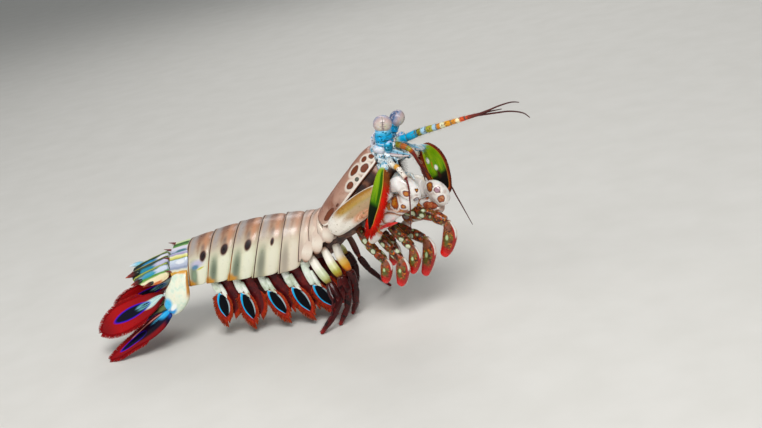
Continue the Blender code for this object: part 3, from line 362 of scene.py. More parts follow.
def blade_finish(name, kind):
    """Tail fan blade or antennal scale, its marks placed along and across the blade."""
    mat, tree, place, mm = finish(name, coat=0.05, gloss=0.05)
    along, across, _ = add(tree, "SeparateXYZ", {0: place}).node.outputs
    streak = add(tree, "Mapping", {0: place, 3: (3, 26, 1)})
    # streaks along a blade: its own fibres, and on the far scale painted highlight
    fibre_and_sheen = add(tree, "TexNoise", {"Vector": streak, "Scale": 1, "Detail": 2})
    lines = add(tree, "MapRange", {0: fibre_and_sheen, 1: 0.42, 2: 0.62}, interpolation_type="SMOOTHSTEP")
    if kind == "endopod":
        base = add(tree, "ValToRGB", {0: along}, stops="0 #60080c 0.3 #8c060c 0.7 #a4060c 1 #7a060c")
        tongue = oval(tree, place, (0.12, -0.08, 0), (0.24, 0.42, 99), 0.2)
        marks = [(tongue, "#d3e2d8"), (tongue, lines, "#3f9fb0"),
            (oval(tree, place, (0.50, 0.02, 0), (0.30, 0.45, 99), 0.09), "#2c0cb4"),
            (oval(tree, place, (0.50, 0.02, 0), (0.27, 0.36, 99), 0.09), "#03031a"),
            (oval(tree, place, (0.27, 0.05, 0), (0.16, 0.28, 99), 0.3), lines, "#7fd0dc")]
    elif kind == "exopod":
        base = add(tree, "ValToRGB", {0: along}, stops=("0 #1e3f8a 0.06 #0c0a2c 0.25 #06051a 0.5 #24040e "
            "0.62 #9c060c 1 #8c060c"))
        edge = add(tree, "Math", {0: across}, operation="ABSOLUTE")
        marks = [(stripe(tree, edge, 0.55, 9, 0.12), stripe(tree, along, 0.12, 9, 0.05), "#7c060e"),
            (stripe(tree, across, 0.60, 0.72, 0.04), stripe(tree, along, 0.10, 0.62, 0.03), "#dd9a8e"),
            (oval(tree, place, (0.62, 0.05, 0), (0.22, 0.50, 99), 0.09), "#2c0cb4"),
            (oval(tree, place, (0.60, 0.05, 0), (0.21, 0.40, 99), 0.09), "#03031a"),
            (oval(tree, place, (0.02, 0.2, 0), (0.12, 0.5, 99), 0.4), "#25a5e6"),
            (oval(tree, place, (0.14, 0.3, 0), (0.14, 0.2, 99), 0.4), lines, "#5cc4ee")]
    elif kind == "scale":
        base = add(tree, "ValToRGB", {0: along}, stops=("0 #b4c88c 0.06 #7c9c18 0.16 #6c9806 0.36 #5c8c04 "
            "0.5 #347004 0.62 #0a1604 1 #020302"))
        edge = add(tree, "Math", {0: across}, operation="ABSOLUTE")
        marks = [(lines, stripe(tree, along, 0.05, 0.52, 0.06), "#8caa0c"),
            (stripe(tree, across, 0.35, 9, 0.15), stripe(tree, along, 0.05, 0.56, 0.05), "#2c5c04"),
            (stripe(tree, edge, 0.87, 9, 0.04), "#c9a83a"), (stripe(tree, edge, 0.955, 9, 0.02), "#7a3a12")]
    elif kind == "far_scale":
        base = add(tree, "ValToRGB", {0: along}, stops=("0 #cfdedf 0.06 #a9c6cc 0.13 #7a9c10 0.26 #5c9004 "
            "0.5 #549a04 0.61 #2c6c04 0.7 #1a1404 0.77 #080302 1 #040202"))
        edge = add(tree, "Math", {0: across}, operation="ABSOLUTE")
        # the lighter yellow-green streaks and the two white spots below are painted highlight
        marks = [(lines, stripe(tree, along, 0.12, 0.64, 0.05), "#93b00c"),
            (cloud(tree, mm, 1.2, 0.45, 0.6), stripe(tree, along, -1, 0.12, 0.05), "#5aa6c6"),
            (oval(tree, place, (0.30, -0.58, 0), (0.055, 0.15, 99), 0.4), "#f6f4ec"),
            (oval(tree, place, (0.51, -0.10, 0), (0.055, 0.16, 99), 0.4), "#f6f4ec"),
            (oval(tree, place, (0.42, -0.36, 0), (0.045, 0.09, 99), 0.5, (0, 0, 0.8)), "#b8761e"),
            (oval(tree, place, (0.65, -0.08, 0), (0.08, 0.16, 99), 0.6), "#3c1a0c"),
            (stripe(tree, edge, 0.84, 9, 0.04), "#b8801a"), (stripe(tree, edge, 0.90, 9, 0.03), "#4c100e")]
    else:
        # outer flap of a swimming leg: black oval, cyan crescent at its hind edge
        base = add(tree, "ValToRGB", {0: along}, stops="0 #c9cdbf 0.14 #8a3a22 0.3 #8c2a1a 1 #b5361c")
        marks = [(oval(tree, place, (0.46, 0, 0), (0.50, 1.10, 99), 0.05), "#1fb0ea"),
            (oval(tree, place, (0.52, 0.34, 0), (0.46, 1.05, 99), 0.05), "#07080f"),
            (stripe(tree, across, 0.80, 9, 0.05), stripe(tree, along, 0.30, 0.8, 0.08), "#9fb4b8")]
    return cuticle(mat, base, marks, mm, 0.5, 0.03, (0.25, 0.4))


def bristle_finish(name, root, middle, tip, early=None):
    """Setae: horny bristles that change colour from root to tip, and in darker locks."""
    mat, tree, place, mm = finish(name, rough=0.45, coat=0, gloss=0.05)
    along, _, out = add(tree, "SeparateXYZ", {0: place}).node.outputs
    base = add(tree, "ValToRGB", {0: out}, stops=f"0 {root} 0.45 {middle} 1 {tip}")
    marks = [(add(tree, "MapRange", {0: cloud(tree, mm, 1.3, 0.4, 0.65), 4: 0.5}), root)]
    if early:
        near = add(tree, "MapRange", {0: along, 1: 0.34, 2: 0.12}, interpolation_type="SMOOTHSTEP")
        marks.append((near, early))
    tree.links.new(painted(tree, base, marks), tree.nodes["Principled BSDF"].inputs["Base Color"])
    return mat


def tail_finish(name, half, bands, along_marks=(), keels=()):
    """Tail shield: coloured bands that run along it, told by the distance across in mm."""
    mat, tree, place, mm = finish(name, coat=0.3)
    side = add(tree, "VectorMath", {0: place}, operation="ABSOLUTE")
    side = wavy(tree, side, 3, 0.5)
    x, y, _ = add(tree, "SeparateXYZ", {0: side}).node.outputs
    base = add(tree, "ValToRGB", {0: add(tree, "Math", {0: y, 1: half}, operation="DIVIDE")}, stops=bands)
    marks = [(oval(tree, side, at, size, 0.3), tint) for at, size, tint in along_marks]
    clean = add(tree, "VectorMath", {0: place}, operation="ABSOLUTE")
    _, off, _ = add(tree, "SeparateXYZ", {0: clean}).node.outputs
    for at, width, tint in keels:
        marks.append((stripe(tree, off, at - width, at + width, 0.12), tint))
    marks.append((stripe(tree, off, 30, 99, 1), "#6a1a14"))
    return cuticle(mat, base, marks, mm, 0.6, 0.04)


def protopod_finish():
    """Base of the tail fan: mint-white, orange along its upper rim, bright blue at its lower end."""
    mat, tree, place, mm = finish("mint_cuticle_tail_base", coat=0.15, soft=0.05)
    along, across, _ = add(tree, "SeparateXYZ", {0: wavy(tree, place, 0.6, 0.06)}).node.outputs
    base = add(tree, "ValToRGB", {0: cloud(tree, mm, 3, 0.35, 0.7)}, stops="0 #e9e8cf 0.5 #e2e8d2 1 #cfe0cc")
    edge = add(tree, "Math", {0: across}, operation="ABSOLUTE")
    marks = [(oval(tree, place, (0.92, 0.35, 0), (0.16, 0.5, 99), 0.4), "#2fb4e6"),
        (oval(tree, place, (0.98, -0.5, 0), (0.14, 0.35, 99), 0.4), "#1793d6"),
        (oval(tree, place, (0.86, -0.35, 0), (0.10, 0.2, 99), 0.4), "#f2f4ee"),
        (stripe(tree, edge, 0.88, 9, 0.05), stripe(tree, along, -1, 0.5, 0.08), "#c98a3a"),
        (stripe(tree, along, -1, 0.07, 0.03), "#d99a34"), (stripe(tree, along, 1.15, 9, 0.1), "#5c6a34"),
        (stripe(tree, along, 1.7, 9, 0.15), "#141a14")]
    return cuticle(mat, base, marks, mm, 0.6, 0.03)


def claw_finish(name, net_from, patches):
    """Raptorial claw: white, polished, with outlined orange-brown patches."""
    mat, tree, place, mm = finish(name, coat=0.35, soft=0.08)
    wave = wavy(tree, mm, 1.8, 1.5)
    base = add(tree, "ValToRGB", {0: cloud(tree, mm, 4, 0.35, 0.75, 1)}, stops=("0 #f1eeea 0.5 #e9e2dc "
        "0.8 #d6ccc4 1 #c2ada2"))
    inner = cloud(tree, mm, 1.3, 0.4, 0.62)
    # brown net between white islands, over the lower half of the hand only
    along = add(tree, "SeparateXYZ", {0: place})
    low = stripe(tree, along, net_from, 9, 0.08)
    net = add(tree, "TexVoronoi", {"Vector": wave, "Scale": 0.22, "Randomness": 0.9},
        feature="DISTANCE_TO_EDGE")
    marks = [(stripe(tree, net, -1, 0.20, 0.03), low, "#5c2a16"),
        (stripe(tree, net, -1, 0.17, 0.03), low, "#a8501c"),
        (stripe(tree, net, -1, 0.12, 0.04), low, inner, "#d08428")]
    for at, size, tint, middle in patches:
        rim = tint if tint[1] == "f" else "#5c2a16"  # white islands have no dark outline
        marks += [(oval(tree, wave, at, tuple(s + 1.1 for s in size), 0.2), "#f1e8e0"),
            (oval(tree, wave, at, tuple(s + 0.4 for s in size), 0.12), rim),
            (oval(tree, wave, at, size, 0.12), tint),
            (oval(tree, wave, at, tuple(s * 0.75 for s in size), 0.3), inner, middle)]
    return cuticle(mat, base, marks, mm, 0.6, 0.03, (0.18, 0.34))


def merus_finish():
    """Upper arm of the claw: gold-brown back, beige middle, white hind end."""
    mat, tree, place, mm = finish("gold_and_ivory_cuticle_merus", coat=0.3, soft=0.05)
    along, deep, _ = add(tree, "SeparateXYZ", {0: wavy(tree, place, 0.6, 0.16)}).node.outputs
    base = add(tree, "ValToRGB", {0: add(tree, "MapRange", {0: deep, 1: -1, 2: 1})}, stops=("0 #e9dccb "
        "0.18 #d9b48e 0.36 #c6a684 0.55 #a99a6c 0.74 #b18a35 0.9 #a4701a 1 #8a5a1c"))
    marks = [(stripe(tree, along, -9, 0.22, 0.10), "#efe8dc"), (stripe(tree, along, 0.84, 9, 0.04), "#ebe6e2"),
        (oval(tree, place, (0.12, -0.45, 0), (0.40, 0.75, 99), 0.3), "#f1e9dc"),
        (oval(tree, place, (0.56, -0.12, 0), (0.26, 0.34, 99), 0.4), "#b4946c"),
        (oval(tree, place, (0.56, -0.66, 0), (0.17, 0.34, 99), 0.4), "#dc9a70"),
        (ring_mark(tree, place, (0.60, -0.72, 0), (0.13, 0.26, 99), 0.02, 0.08), "#f0c8a8"),
        (ring_mark(tree, place, (0.61, -0.74, 0), (0.08, 0.15, 99), 0.02, 0.1), "#b8683c"),
        (cloud(tree, mm, 1.1, 0.62, 0.75), "#8f7a46"), (stripe(tree, deep, 0.93, 9, 0.04), "#efe6d6")]
    return cuticle(mat, base, marks, mm, 0.6, 0.03, (0.2, 0.36))


def dactyl_finish():
    """Striking finger: white heel with an orange rim, red shaft."""
    mat, tree, place, mm = finish("red_cuticle_dactyl", coat=0.4)
    along = add(tree, "SeparateXYZ", {0: wavy(tree, place, 0.4, 0.04)})
    along = add(tree, "Math", {0: along, 1: 2}, operation="DIVIDE")
    base = add(tree, "ValToRGB", {0: along}, stops=("0 #c9541c 0.03 #d8802c 0.08 #efe3da 0.36 #f3ece6 "
        "0.44 #e8c8b4 0.49 #d8501c 0.53 #d0140e 1 #e0241a"))
    return cuticle(mat, base, (), mm, 0.5, 0.02, (0.15, 0.3))


def hand_finish():
    """Small grasping hands: dark olive and red-brown with mint spots, bright red at the tip."""
    mat, tree, place, mm = finish("spotted_cuticle_hand", coat=0.12, gloss=0.3)
    along, across, _ = add(tree, "SeparateXYZ", {0: place}).node.outputs
    base = add(tree, "ValToRGB", {0: cloud(tree, mm, 2.6, 0.35, 0.65)}, stops=("0 #34140c 0.4 #5c2610 "
        "0.7 #8a3a16 1 #5a4a1c"))
    cell = add(tree, "TexVoronoi", {"Vector": wavy(tree, mm, 1.5, 0.6), "Scale": 0.24, "Randomness": 0.9},
        feature="F1")
    arm = stripe(tree, along, -9, 1, 0.02)
    drop = wavy(tree, place, 0.4, 0.10)
    edge = add(tree, "Math", {0: across}, operation="ABSOLUTE")
    marks = [(cloud(tree, mm, 1.8, 0.55, 0.62, 1), "#a8401a"), (cloud(tree, mm, 1.2, 0.61, 0.67, 1), "#d07a1c"),
        (cloud(tree, mm, 2.2, 0.58, 0.66, 1), "#6a6420"),
        (stripe(tree, cell, -1, 0.40, 0.05), arm, "#2a0f0a"),
        (stripe(tree, cell, -1, 0.33, 0.05), arm, "#8a9458"),
        (stripe(tree, cell, -1, 0.27, 0.05), arm, "#dde6c8"),
        (stripe(tree, edge, 0.72, 9, 0.12), stripe(tree, along, 1.15, 9, 0.1), "#a81c12"),
        (oval(tree, place, (1.12, 0, 0), (0.13, 1.2, 99), 0.5), cloud(tree, mm, 1.6, 0.35, 0.55, 1), "#84503c"),
        (oval(tree, drop, (1.52, -0.1, 0), (0.20, 0.34, 99), 0.6), "#5c5a1c"),
        (oval(tree, drop, (1.42, -0.1, 0), (0.075, 0.20, 99), 0.4), "#b9d49c"),
        (stripe(tree, along, 1.72, 99, 0.08), "#b80c06"), (stripe(tree, along, 1.86, 99, 0.06), "#e0100a"),
        # a white line along one edge of the palm's upper part: painted highlight
        (stripe(tree, across, 0.91, 9, 0.03), stripe(tree, along, 1.02, 1.38, 0.05), "#e6e2da")]
    return cuticle(mat, base, marks, mm, 0.5, 0.04, (0.2, 0.36))


def leg_finish(pair, middle, late, last, early="#ece6d8"):
    """Walking leg: pale base turning to its pair's own colour, glossy dark maroon shaft."""
    mat, tree, place, mm = finish(f"maroon_cuticle_walking_leg_{pair}", coat=0.12, gloss=0.18)
    along = add(tree, "SeparateXYZ", {0: wavy(tree, place, 0.5, 0.08)})
    base = add(tree, "ValToRGB", {0: add(tree, "Math", {0: along, 1: 2}, operation="DIVIDE")},
        stops=(f"0 #c9a890 0.08 {early} 0.2 {early} 0.32 {middle} 0.41 {late} 0.465 {last} "
        "0.5 #3f0c0b 0.62 #2c0506 0.8 #3c0607 0.93 #4c0a0a 1 #8a1210"))
    shaft = stripe(tree, along, 1, 9, 0.05)
    marks = [(cloud(tree, mm, 2.2, 0.56, 0.70, 1), shaft, "#4c0a08"),
        (cloud(tree, mm, 2.6, 0.6, 0.68, 1), shaft, "#160304")]
    return cuticle(mat, base, marks, mm, 0.6, 0.03, (0.14, 0.3))


# ---- shapes -------------------------------------------------------------------------------
def skin(around, rows, where):
    """Closed skin: a grid of around by rows cells, each corner put where (u, v) says."""
    bm = bmesh.new()
    layer = bm.verts.layers.float_vector.new("place")
    bmesh.ops.create_grid(bm, x_segments=around, y_segments=rows, size=0.5)
    for v in bm.verts:
        v.co, v[layer] = where(v.co.x + 0.5, v.co.y + 0.5)
    bmesh.ops.remove_doubles(bm, verts=bm.verts, dist=0.0005)
    bmesh.ops.recalc_face_normals(bm, faces=bm.faces)
    return bm


def piece(name, shapes, look, nodes, smooth=1):
    """One object from shapes in mm: set in place, in metres, riding on the model."""
    whole, scrap = bmesh.new(), bpy.data.meshes.new("scrap")
    for bm in shapes:
        bm.to_mesh(scrap)
        whole.from_mesh(scrap)
        bm.free()
    bpy.data.meshes.remove(scrap)
    bmesh.ops.translate(whole, verts=whole.verts, vec=SHIFT)
    for v in whole.verts:
        v.co.z = max(v.co.z, 0)
    bmesh.ops.scale(whole, verts=whole.verts, vec=(MM, MM, MM))
    me = bpy.data.meshes.new(name)
    whole.to_mesh(me)
    whole.free()
    me.materials.append(look)
    me.shade_smooth()
    ob = bpy.data.objects.new(name, me)
    bpy.context.scene.collection.objects.link(ob)
    if smooth:
        mod = ob.modifiers.new("smooth", "SUBSURF")
        mod.levels = mod.render_levels = smooth
    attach(ob, "root")
    if nodes:
        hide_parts(*nodes)


def through(points, t):
    """Point at share t of a row of points, in straight steps."""
    k = min(int(t * (len(points) - 1)), len(points) - 2)
    w = t * (len(points) - 1) - k
    return tuple(a * (1 - w) + b * w for a, b in zip(points[k], points[k + 1]))


def swell(value, middle, width):
    """Rounded bump of height 1."""
    return math.exp(-((value - middle) / width) ** 2)


def power(c, e):
    """Signed power, which makes a circle boxier (under 1) or more pointed."""
    return math.copysign(abs(c) ** e, c)


def curve(stations, sub):
    """Smooth curve through (point, sizes...) stations, with sub steps between two of them."""
    pts = [Vector((*p, *sizes)) for p, *sizes in stations]
    out = []
    for i in range(len(pts) - 1):
        a, b, c, d = (pts[min(max(i + k, 0), len(pts) - 1)] for k in (-1, 0, 1, 2))
        for t in (k / sub for k in range(sub)):
            out.append(a * (-0.5 * t + t * t - 0.5 * t ** 3) + b * (1 - 2.5 * t * t + 1.5 * t ** 3)
                + c * (0.5 * t + 2 * t * t - 1.5 * t ** 3) + d * (0.5 * t ** 3 - 0.5 * t * t))
    return out + [pts[-1]]


def sections(stations, wide, sub, steady=False):
    """Rows along a limb: point, half width, half thickness, run, wide way, thick way, share."""
    line = curve(stations, sub)
    pts = [Vector(q[:3]) for q in line]
    gone = [0]
    for a, b in zip(pts, pts[1:]):
        gone.append(gone[-1] + (b - a).length)
    wide, rows = Vector(wide).normalized(), []
    for i, q in enumerate(line):
        run = (pts[min(i + 1, len(pts) - 1)] - pts[max(i - 1, 0)]).normalized()
        across = (wide - run * wide.dot(run)).normalized()
        rows.append((pts[i], max(q[3], 0.1), max(q[4], 0.08), run, across, run.cross(across),
            gone[i] / gone[-1]))
        if not steady:
            wide = across
    return rows


def limb(stations, wide, around=16, sub=4, square=1, camber=0, tips=(0.4, 0.4), steady=False, shape=None,
        base=0):
    """Closed body swept along stations, its ends domed by tips.

    square under 1 makes the section boxier, camber lifts the middle, shape(share, cos, sin)
    gives extra thickness in mm, and base is added to the share that "place" tells.
    """
    rows = sections(stations, wide, sub, steady)
    for end, tip in ((0, -tips[0]), (-1, tips[1])):
        p, a, b, run, across, lift, share = rows[end]
        domed = [(p + run * tip * 0.75, a * 0.66, b * 0.66, run, across, lift, share),
            (p + run * tip, 0, 0, run, across, lift, share)]
        rows = rows + domed if end else domed[::-1] + rows

    def where(u, v):
        p, a, b, run, across, lift, share = rows[round(v * (len(rows) - 1))]
        turn = 2 * math.pi * u
        c, s = power(math.cos(turn), square), power(math.sin(turn), square)
        extra = shape(share, c, s) if shape and a else 0
        at = p + across * a * c + lift * ((b + extra) * s - camber * a * c * c)
        return at, (base + share, c if a else 0, s if a else 0)
    return skin(around, len(rows) - 1, where)


def jointed(joints, flat=1, pinch=0.74, swollen=1.12):
    """Stations of a limb that is pinched at each joint and swells between them."""
    out = []
    for (p, r), (q, s) in zip(joints, joints[1:]):
        p, q = Vector(p), Vector(q)
        for t, k in ((0, pinch), (0.1, 0.98), (0.35, swollen), (0.8, 1.04), (0.93, 1)):
            size = (r + (s - r) * t) * k
            out.append((p.lerp(q, t), size, size * flat))
    p, r = joints[-1]
    return out + [(Vector(p), r * pinch, r * pinch * flat)]


def coat():
    """Empty mesh for bristles, with the attribute and the map they fill."""
    bm = bmesh.new()
    bm.verts.layers.float_vector.new("place")
    bm.loops.layers.uv.new("OFBake")
    return bm


def in_map(share, across):
    """Where a root at this share and side of its blade lies in the map OFBake."""
    return 0.02 + 0.96 * share, 0.5 + across * 0.25


def seta(bm, root, way, broad, long, size, place, mark):
    """One tapered bristle; its patch in the map lies at mark, its root's place."""
    layer, bake = bm.verts.layers.float_vector["place"], bm.loops.layers.uv["OFBake"]
    turn = Matrix((broad * size[0], way.cross(broad) * size[1], way)).transposed().to_4x4()
    turn.translation = root + way * long * 0.5
    for v in bmesh.ops.create_cone(bm, cap_ends=True, segments=4, radius1=1, radius2=0.25, depth=long,
            matrix=turn)["verts"]:
        tall = min(max((v.co - root).dot(way) / long, 0), 1)
        v[layer] = (*place, tall)
        for loop in v.link_loops:
            loop[bake].uv = (mark[0] + PATCH * (tall - 0.5),
                mark[1] + PATCH / 2 * (v.co - root).dot(broad) / size[0])


def bristles(rows, side, reach, gap=0.3, start=0, stop=1, inset=0.15, thick=0.06, wide=0.2, lean=0.5, vary=None,
        rise=0, longer=0, sweep=0):
    """Fine tapered bristles along one rim of a blade, from share start to stop.

    Towards the tip they grow by longer and bend along it by sweep.

    place tells the root's share, its side, and 0 at the root to 1 at the tip. Each bristle is a
    small patch at its root's place in the map OFBake.
    """
    vary = vary or random.Random(5)
    bm = coat()
    edge = [(p + across * side * (a - inset) + lift * rise, lift, run, share)
        for p, a, _, run, across, lift, share in rows]
    for (p, lift, run, share), (q, _, _, further) in zip(edge, edge[1:]):
        if not start <= share <= stop or (q - p).length < 1e-4:
            continue
        out = lift.cross(q - p).normalized() * side
        count = max(1, round((q - p).length / gap))
        for k in range(count):
            t = (k + vary.uniform(0.1, 0.9)) / count
            s = share + (further - share) * t
            grown = min(1, (s - start) / 0.08 + 0.35)
            long = reach * vary.uniform(0.94, 1.05) * grown * (1 + longer * s ** 4)
            along = run * lean * (1 + sweep * s ** 10) * vary.uniform(0.8, 1.2)
            way = (out + along + lift * vary.uniform(-0.12, 0.12)).normalized()
            seta(bm, p.lerp(q, t), way, way.cross(lift).normalized(), long, (wide, thick), (s, side),
                in_map(s, side))
    return bm


def rims(rows, *how, sides=(-1, 1), **more):
    """Bristles along each rim of a blade or limb."""
    return [bristles(rows, side, *how, vary=random.Random(n), **more) for n, side in enumerate(sides)]


def fringe_piece(name, shapes, look):
    """Bristles stand for no part of the model, and aren't smoothed."""
    piece(name, shapes, look, (), smooth=0)


def thorn(root, tip, size, wide, base=0):
    """Short spine from root to tip."""
    root, tip = Vector(root), Vector(tip)
    return limb([(root, size, size * 0.8), (root.lerp(tip, 0.5), size * 0.62, size * 0.5), (tip, 0.12, 0.1)],
        wide, around=10, sub=3, tips=(0.3, 0.1), base=base)


# ---- tail rings and hind thorax -----------------------------------------------------------
RINGS = [
    # top (x, z), edge (x, z), y, half width, belly
    ((-57.9, 48), (-59.6, 30), 0, 13.8, 0.26),
    ((-45.6, 50.2), (-51, 30.2), 0, 14.5, 0.26),
    ((-33, 52), (-40.6, 30), 0, 15, 0.26),
    ((-20.8, 52.9), (-28.8, 29.5), 0, 15.2, 0.28),
    ((-9.6, 52.6), (-16.4, 29.5), 0, 15, 0.28),
    ((-1, 51.9), (-5.4, 33.4), 0, 14.2, 0.10),
    ((3.4, 51.9), (2.4, 37), -0.5, 13.2, 0),
    ((8, 53.2), (9.6, 40.3), -1.3, 12.7, -0.08)
]
RING_YAW = [0, 0, 0, 0, 0, -4, -10, -17]


def ring_frame(i):
    """Edge-level origin, left, edge-to-top vector, half width and belly of ring i."""
    (tx, tz), (bx, bz), y, hw, belly = RINGS[i]
    yaw = math.radians(RING_YAW[i])
    o, top = Vector((bx, y, bz)), Vector((tx, y, tz))
    return o, Vector((-math.sin(yaw), math.cos(yaw), 0)), top - o, hw, belly


def neck_frame():
    """The ring where thorax 6 meets the carapace and the core."""
    o, top = trunk(-4, 0, -4.3), trunk(-2.3, 0, 10.4)
    return o, LEFT, top - o, 12.6, -0.12


def plate(a, b):
    """Tail ring between frames a and b: hind rim standing proud, front tucked under the next."""
    length = (b[0] + b[2] * 0.5 - a[0] - a[2] * 0.5).length
    outside = 0.74  # share of the way round that is the plate's outside
    rows = [(-0.03, 0, 0), (-0.03, 0.80, 0.14), (-0.055, 0.95, 0.03), (-0.075, 0.992, 0.01), (-0.06, 1.006, 0),
        (-0.02, 1.014, 0), (0.03, 1.012, 0), (0.14, 1.008, 0), (0.35, 1.012, 0), (0.6, 1.008, 0),
        (0.8, 0.998, 0.01), (0.92, 0.98, 0.03), (0.985, 0.955, 0.07), (1, 0.90, 0.12), (1, 0, 0)]

    def where(u, v):
        t, shrink, lift = rows[round(v * (len(rows) - 1))]
        o, left, rise, hw, belly = (x * (1 - t) + y * t for x, y in zip(a, b))
        if shrink == 0:
            return o + rise * 0.5, (t * length, 0, 0)
        left = left.normalized()
        grow = 1 + (shrink - 1) * (1.4 if t > 0.5 else 1)
        base, up, half = o + rise * lift, rise * (grow - lift), hw * grow
        if u <= outside:
            ang = math.pi * (1 - u / outside)
            c, s = math.cos(ang), math.sin(ang)
            at = base + left * half * power(c, 0.78) + up * abs(s) ** 0.88
            return at, (t * length, ARC_LENGTH * (1 - 2 * ang / math.pi), 1)
        inner = [(1, 0), (0.955, -0.012), (0.90, 0.03), (0.82, belly * 0.55), (0.6, belly), (0.3, belly),
            (0, belly), (-0.3, belly), (-0.6, belly), (-0.82, belly * 0.55), (-0.90, 0.03), (-0.955, -0.012),
            (-1, 0)]
        x, y = through(inner, (u - outside) / (1 - outside))
        return base + left * half * x + up * y, (t * length, ARC_LENGTH * math.copysign(1, x), -1)
    return skin(100, len(rows) - 1, where), length


PLATES = [
    # node, spot (share along, mm from the middle of the back), spot half sizes, rim, blue, rosy
    ("abdomen_5", (0.70, 11.3), (1.3, 1.8), 1, 1, 0),
    ("abdomen_4", (0.62, 10.9), (1.6, 1.75), 1, 0, 0),
    ("abdomen_3", (0.60, 11.2), (1.45, 1.6), 1, 0, 0),
    ("abdomen_2", (0.60, 11.5), (0.6, 0.95), 0, 0, 0.15),
    ("abdomen_1", None, None, 0, 0, 0.45),
    ("thorax_8", None, None, 0, 0, 0.8),
    ("thorax_7", None, None, 0, 0, 0.85),
    ("thorax_6", None, None, 0, 0, 0.8)
]


def build_plates():
    frames = [ring_frame(i) for i in range(8)] + [neck_frame()]
    o, left, rise, hw, belly = frames[5]
    for i, (node, spot, size, rim, blue, rosy) in enumerate(PLATES):
        # the first tail ring reaches lower than the thorax ring that overlaps it
        ahead = (o - UP * 3.2, left, rise + UP * 3.2, hw, belly + 0.16) if i == 4 else frames[i + 1]
        shape, length = plate(frames[i], ahead)
        at = (spot[0] * length, spot[1]) if spot else None
        look = plate_finish(f"banded_cuticle_{node}", length, at, size, rim, blue, rosy)
        piece(f"{node}_plate", [shape], look, [node])


# side lobes of the thorax rings over the legs' roots: ring, then centre, half width, half thickness
LOBES = [
    (5, [((0.1, -10.6, 47.4), 1.3, 0.15), ((-0.2, -12.85, 42.2), 2.2, 0.3), ((-1.1, -13.9, 38.2), 2.6, 0.55),
    ((-2.3, -14.5, 35.2), 2.3, 0.7), ((-3.1, -14.4, 33.2), 1.1, 0.45)]),
    (6, [((5.3, -10.4, 49.8), 1.4, 0.15), ((5, -12.5, 45.4), 2.3, 0.4), ((4.4, -13.8, 41.6), 2.6, 0.65),
    ((3.6, -14.6, 38.6), 2.4, 0.8), ((3, -14.4, 36.4), 1.2, 0.5)]),
    (7, [((11.4, -11.4, 51), 1.7, 0.4), ((11, -12.8, 48.5), 2.3, 0.6), ((10.4, -14.1, 45), 2.9, 0.8),
    ((9.8, -14.6, 42.4), 2.5, 0.8), ((9.4, -14.4, 40.6), 1.2, 0.5)])]


def build_lobes(look):
    for i, stations in LOBES:
        o, left, _, _, _ = ring_frame(i)
        for tag, mirrored in (("R", False), ("L", True)):
            line = [(Vector(p), *rest) for p, *rest in stations]
            if mirrored:
                line = [(p - left * 2 * (p - o).dot(left), *rest) for p, *rest in line]
            shape = limb(line, (1, 0, 0.1), around=24, sub=6, square=0.85, tips=(0.3, 0.5))
            piece(f"thorax_{13 - i}_lobe_{tag}", [shape], look, ())


# ---- abdomen 6 and telson -----------------------------------------------------------------
A6_LENGTH, A6_HALF, A6_LOW, A6_HIGH = 9.6, 13, 36.4, 47.6
A6_KEELS, TELSON_KEELS = (0, 4.6, 9), (0, 4.3, 8.6)
TELSON_NOTCHES = ((0.5, 6.4, 0.9), (0.5, 2.1, 0.9), (0.4, 10.2, 0.7))  # depth, y, half width
TELSON_ROOT, TELSON_LENGTH = Vector((-69.6, 0, 41)), 20.5


def build_abdomen_6(look):
    o, _, rise, _, _ = ring_frame(0)
    lean = rise.x / rise.z
    outside = 0.8
    rows = [(0, 0), (0, 0.90), (0.02, 0.965), (0.12, 0.995), (0.3, 1), (0.5, 0.998), (0.7, 0.99), (0.88, 0.985),
        (0.97, 0.97), (1, 0.94), (1, 0)]

    def where(u, v):
        t, shrink = rows[round(v * (len(rows) - 1))]
        x = o.x + 0.3 - t * A6_LENGTH
        if shrink == 0:
            return Vector((x + lean * 12, 0, 42)), (t * A6_LENGTH, 0, 0)
        half, top = A6_HALF * shrink, A6_HIGH - 1.2 * t - (1 - shrink) * 8
        if u <= outside:
            ang = math.pi * (1 - u / outside)
            c, s = math.cos(ang), math.sin(ang)
            y = half * power(c, 0.8)
            z = A6_LOW + (top - A6_LOW) * s ** 0.75
            z += sum(0.75 * swell(abs(y), k, 0.62) for k in A6_KEELS) * s * min(1, t * 6)
            return Vector((x + lean * (z - o.z), y, z)), (t * A6_LENGTH, A6_ARC * (1 - 2 * ang / math.pi), 1)
        w = (u - outside) / (1 - outside)
        y, z = half * math.cos(math.pi * w), A6_LOW - math.sin(math.pi * w) ** 0.5
        return Vector((x + lean * (z - o.z), y, z)), (t * A6_LENGTH, math.copysign(A6_ARC, y), -1)
    spines = []
    for y, z in ((4.6, 46.6), (9, 43.9), (12.2, 38.6)):
        for side in (-1, 1):
            root = Vector((o.x - 7.6, side * y, z - 0.5))
            spines.append(thorn(root, root + Vector((-3.5, 0, 0.9)), 0.75, (0, 1, 0)))
    shape = skin(110, len(rows) - 1, where)
    for bm in spines:
        place = bm.verts.layers.float_vector["place"]
        for v in bm.verts:
            v[place] = (9, 40, 0)
    piece("abdomen_6_shell", [shape] + spines, look, ["abdomen_6"])


def telson_point(x, y, z):
    """x back along the telson, y across, z off its plane."""
    c, s = math.cos(math.radians(12)), math.sin(math.radians(12))
    return TELSON_ROOT + Vector((-x * c - z * s, y, -x * s + z * c))


def sag(y):
    """How far the telson's side has dropped at y."""
    return 7 * (y / 14) ** 2


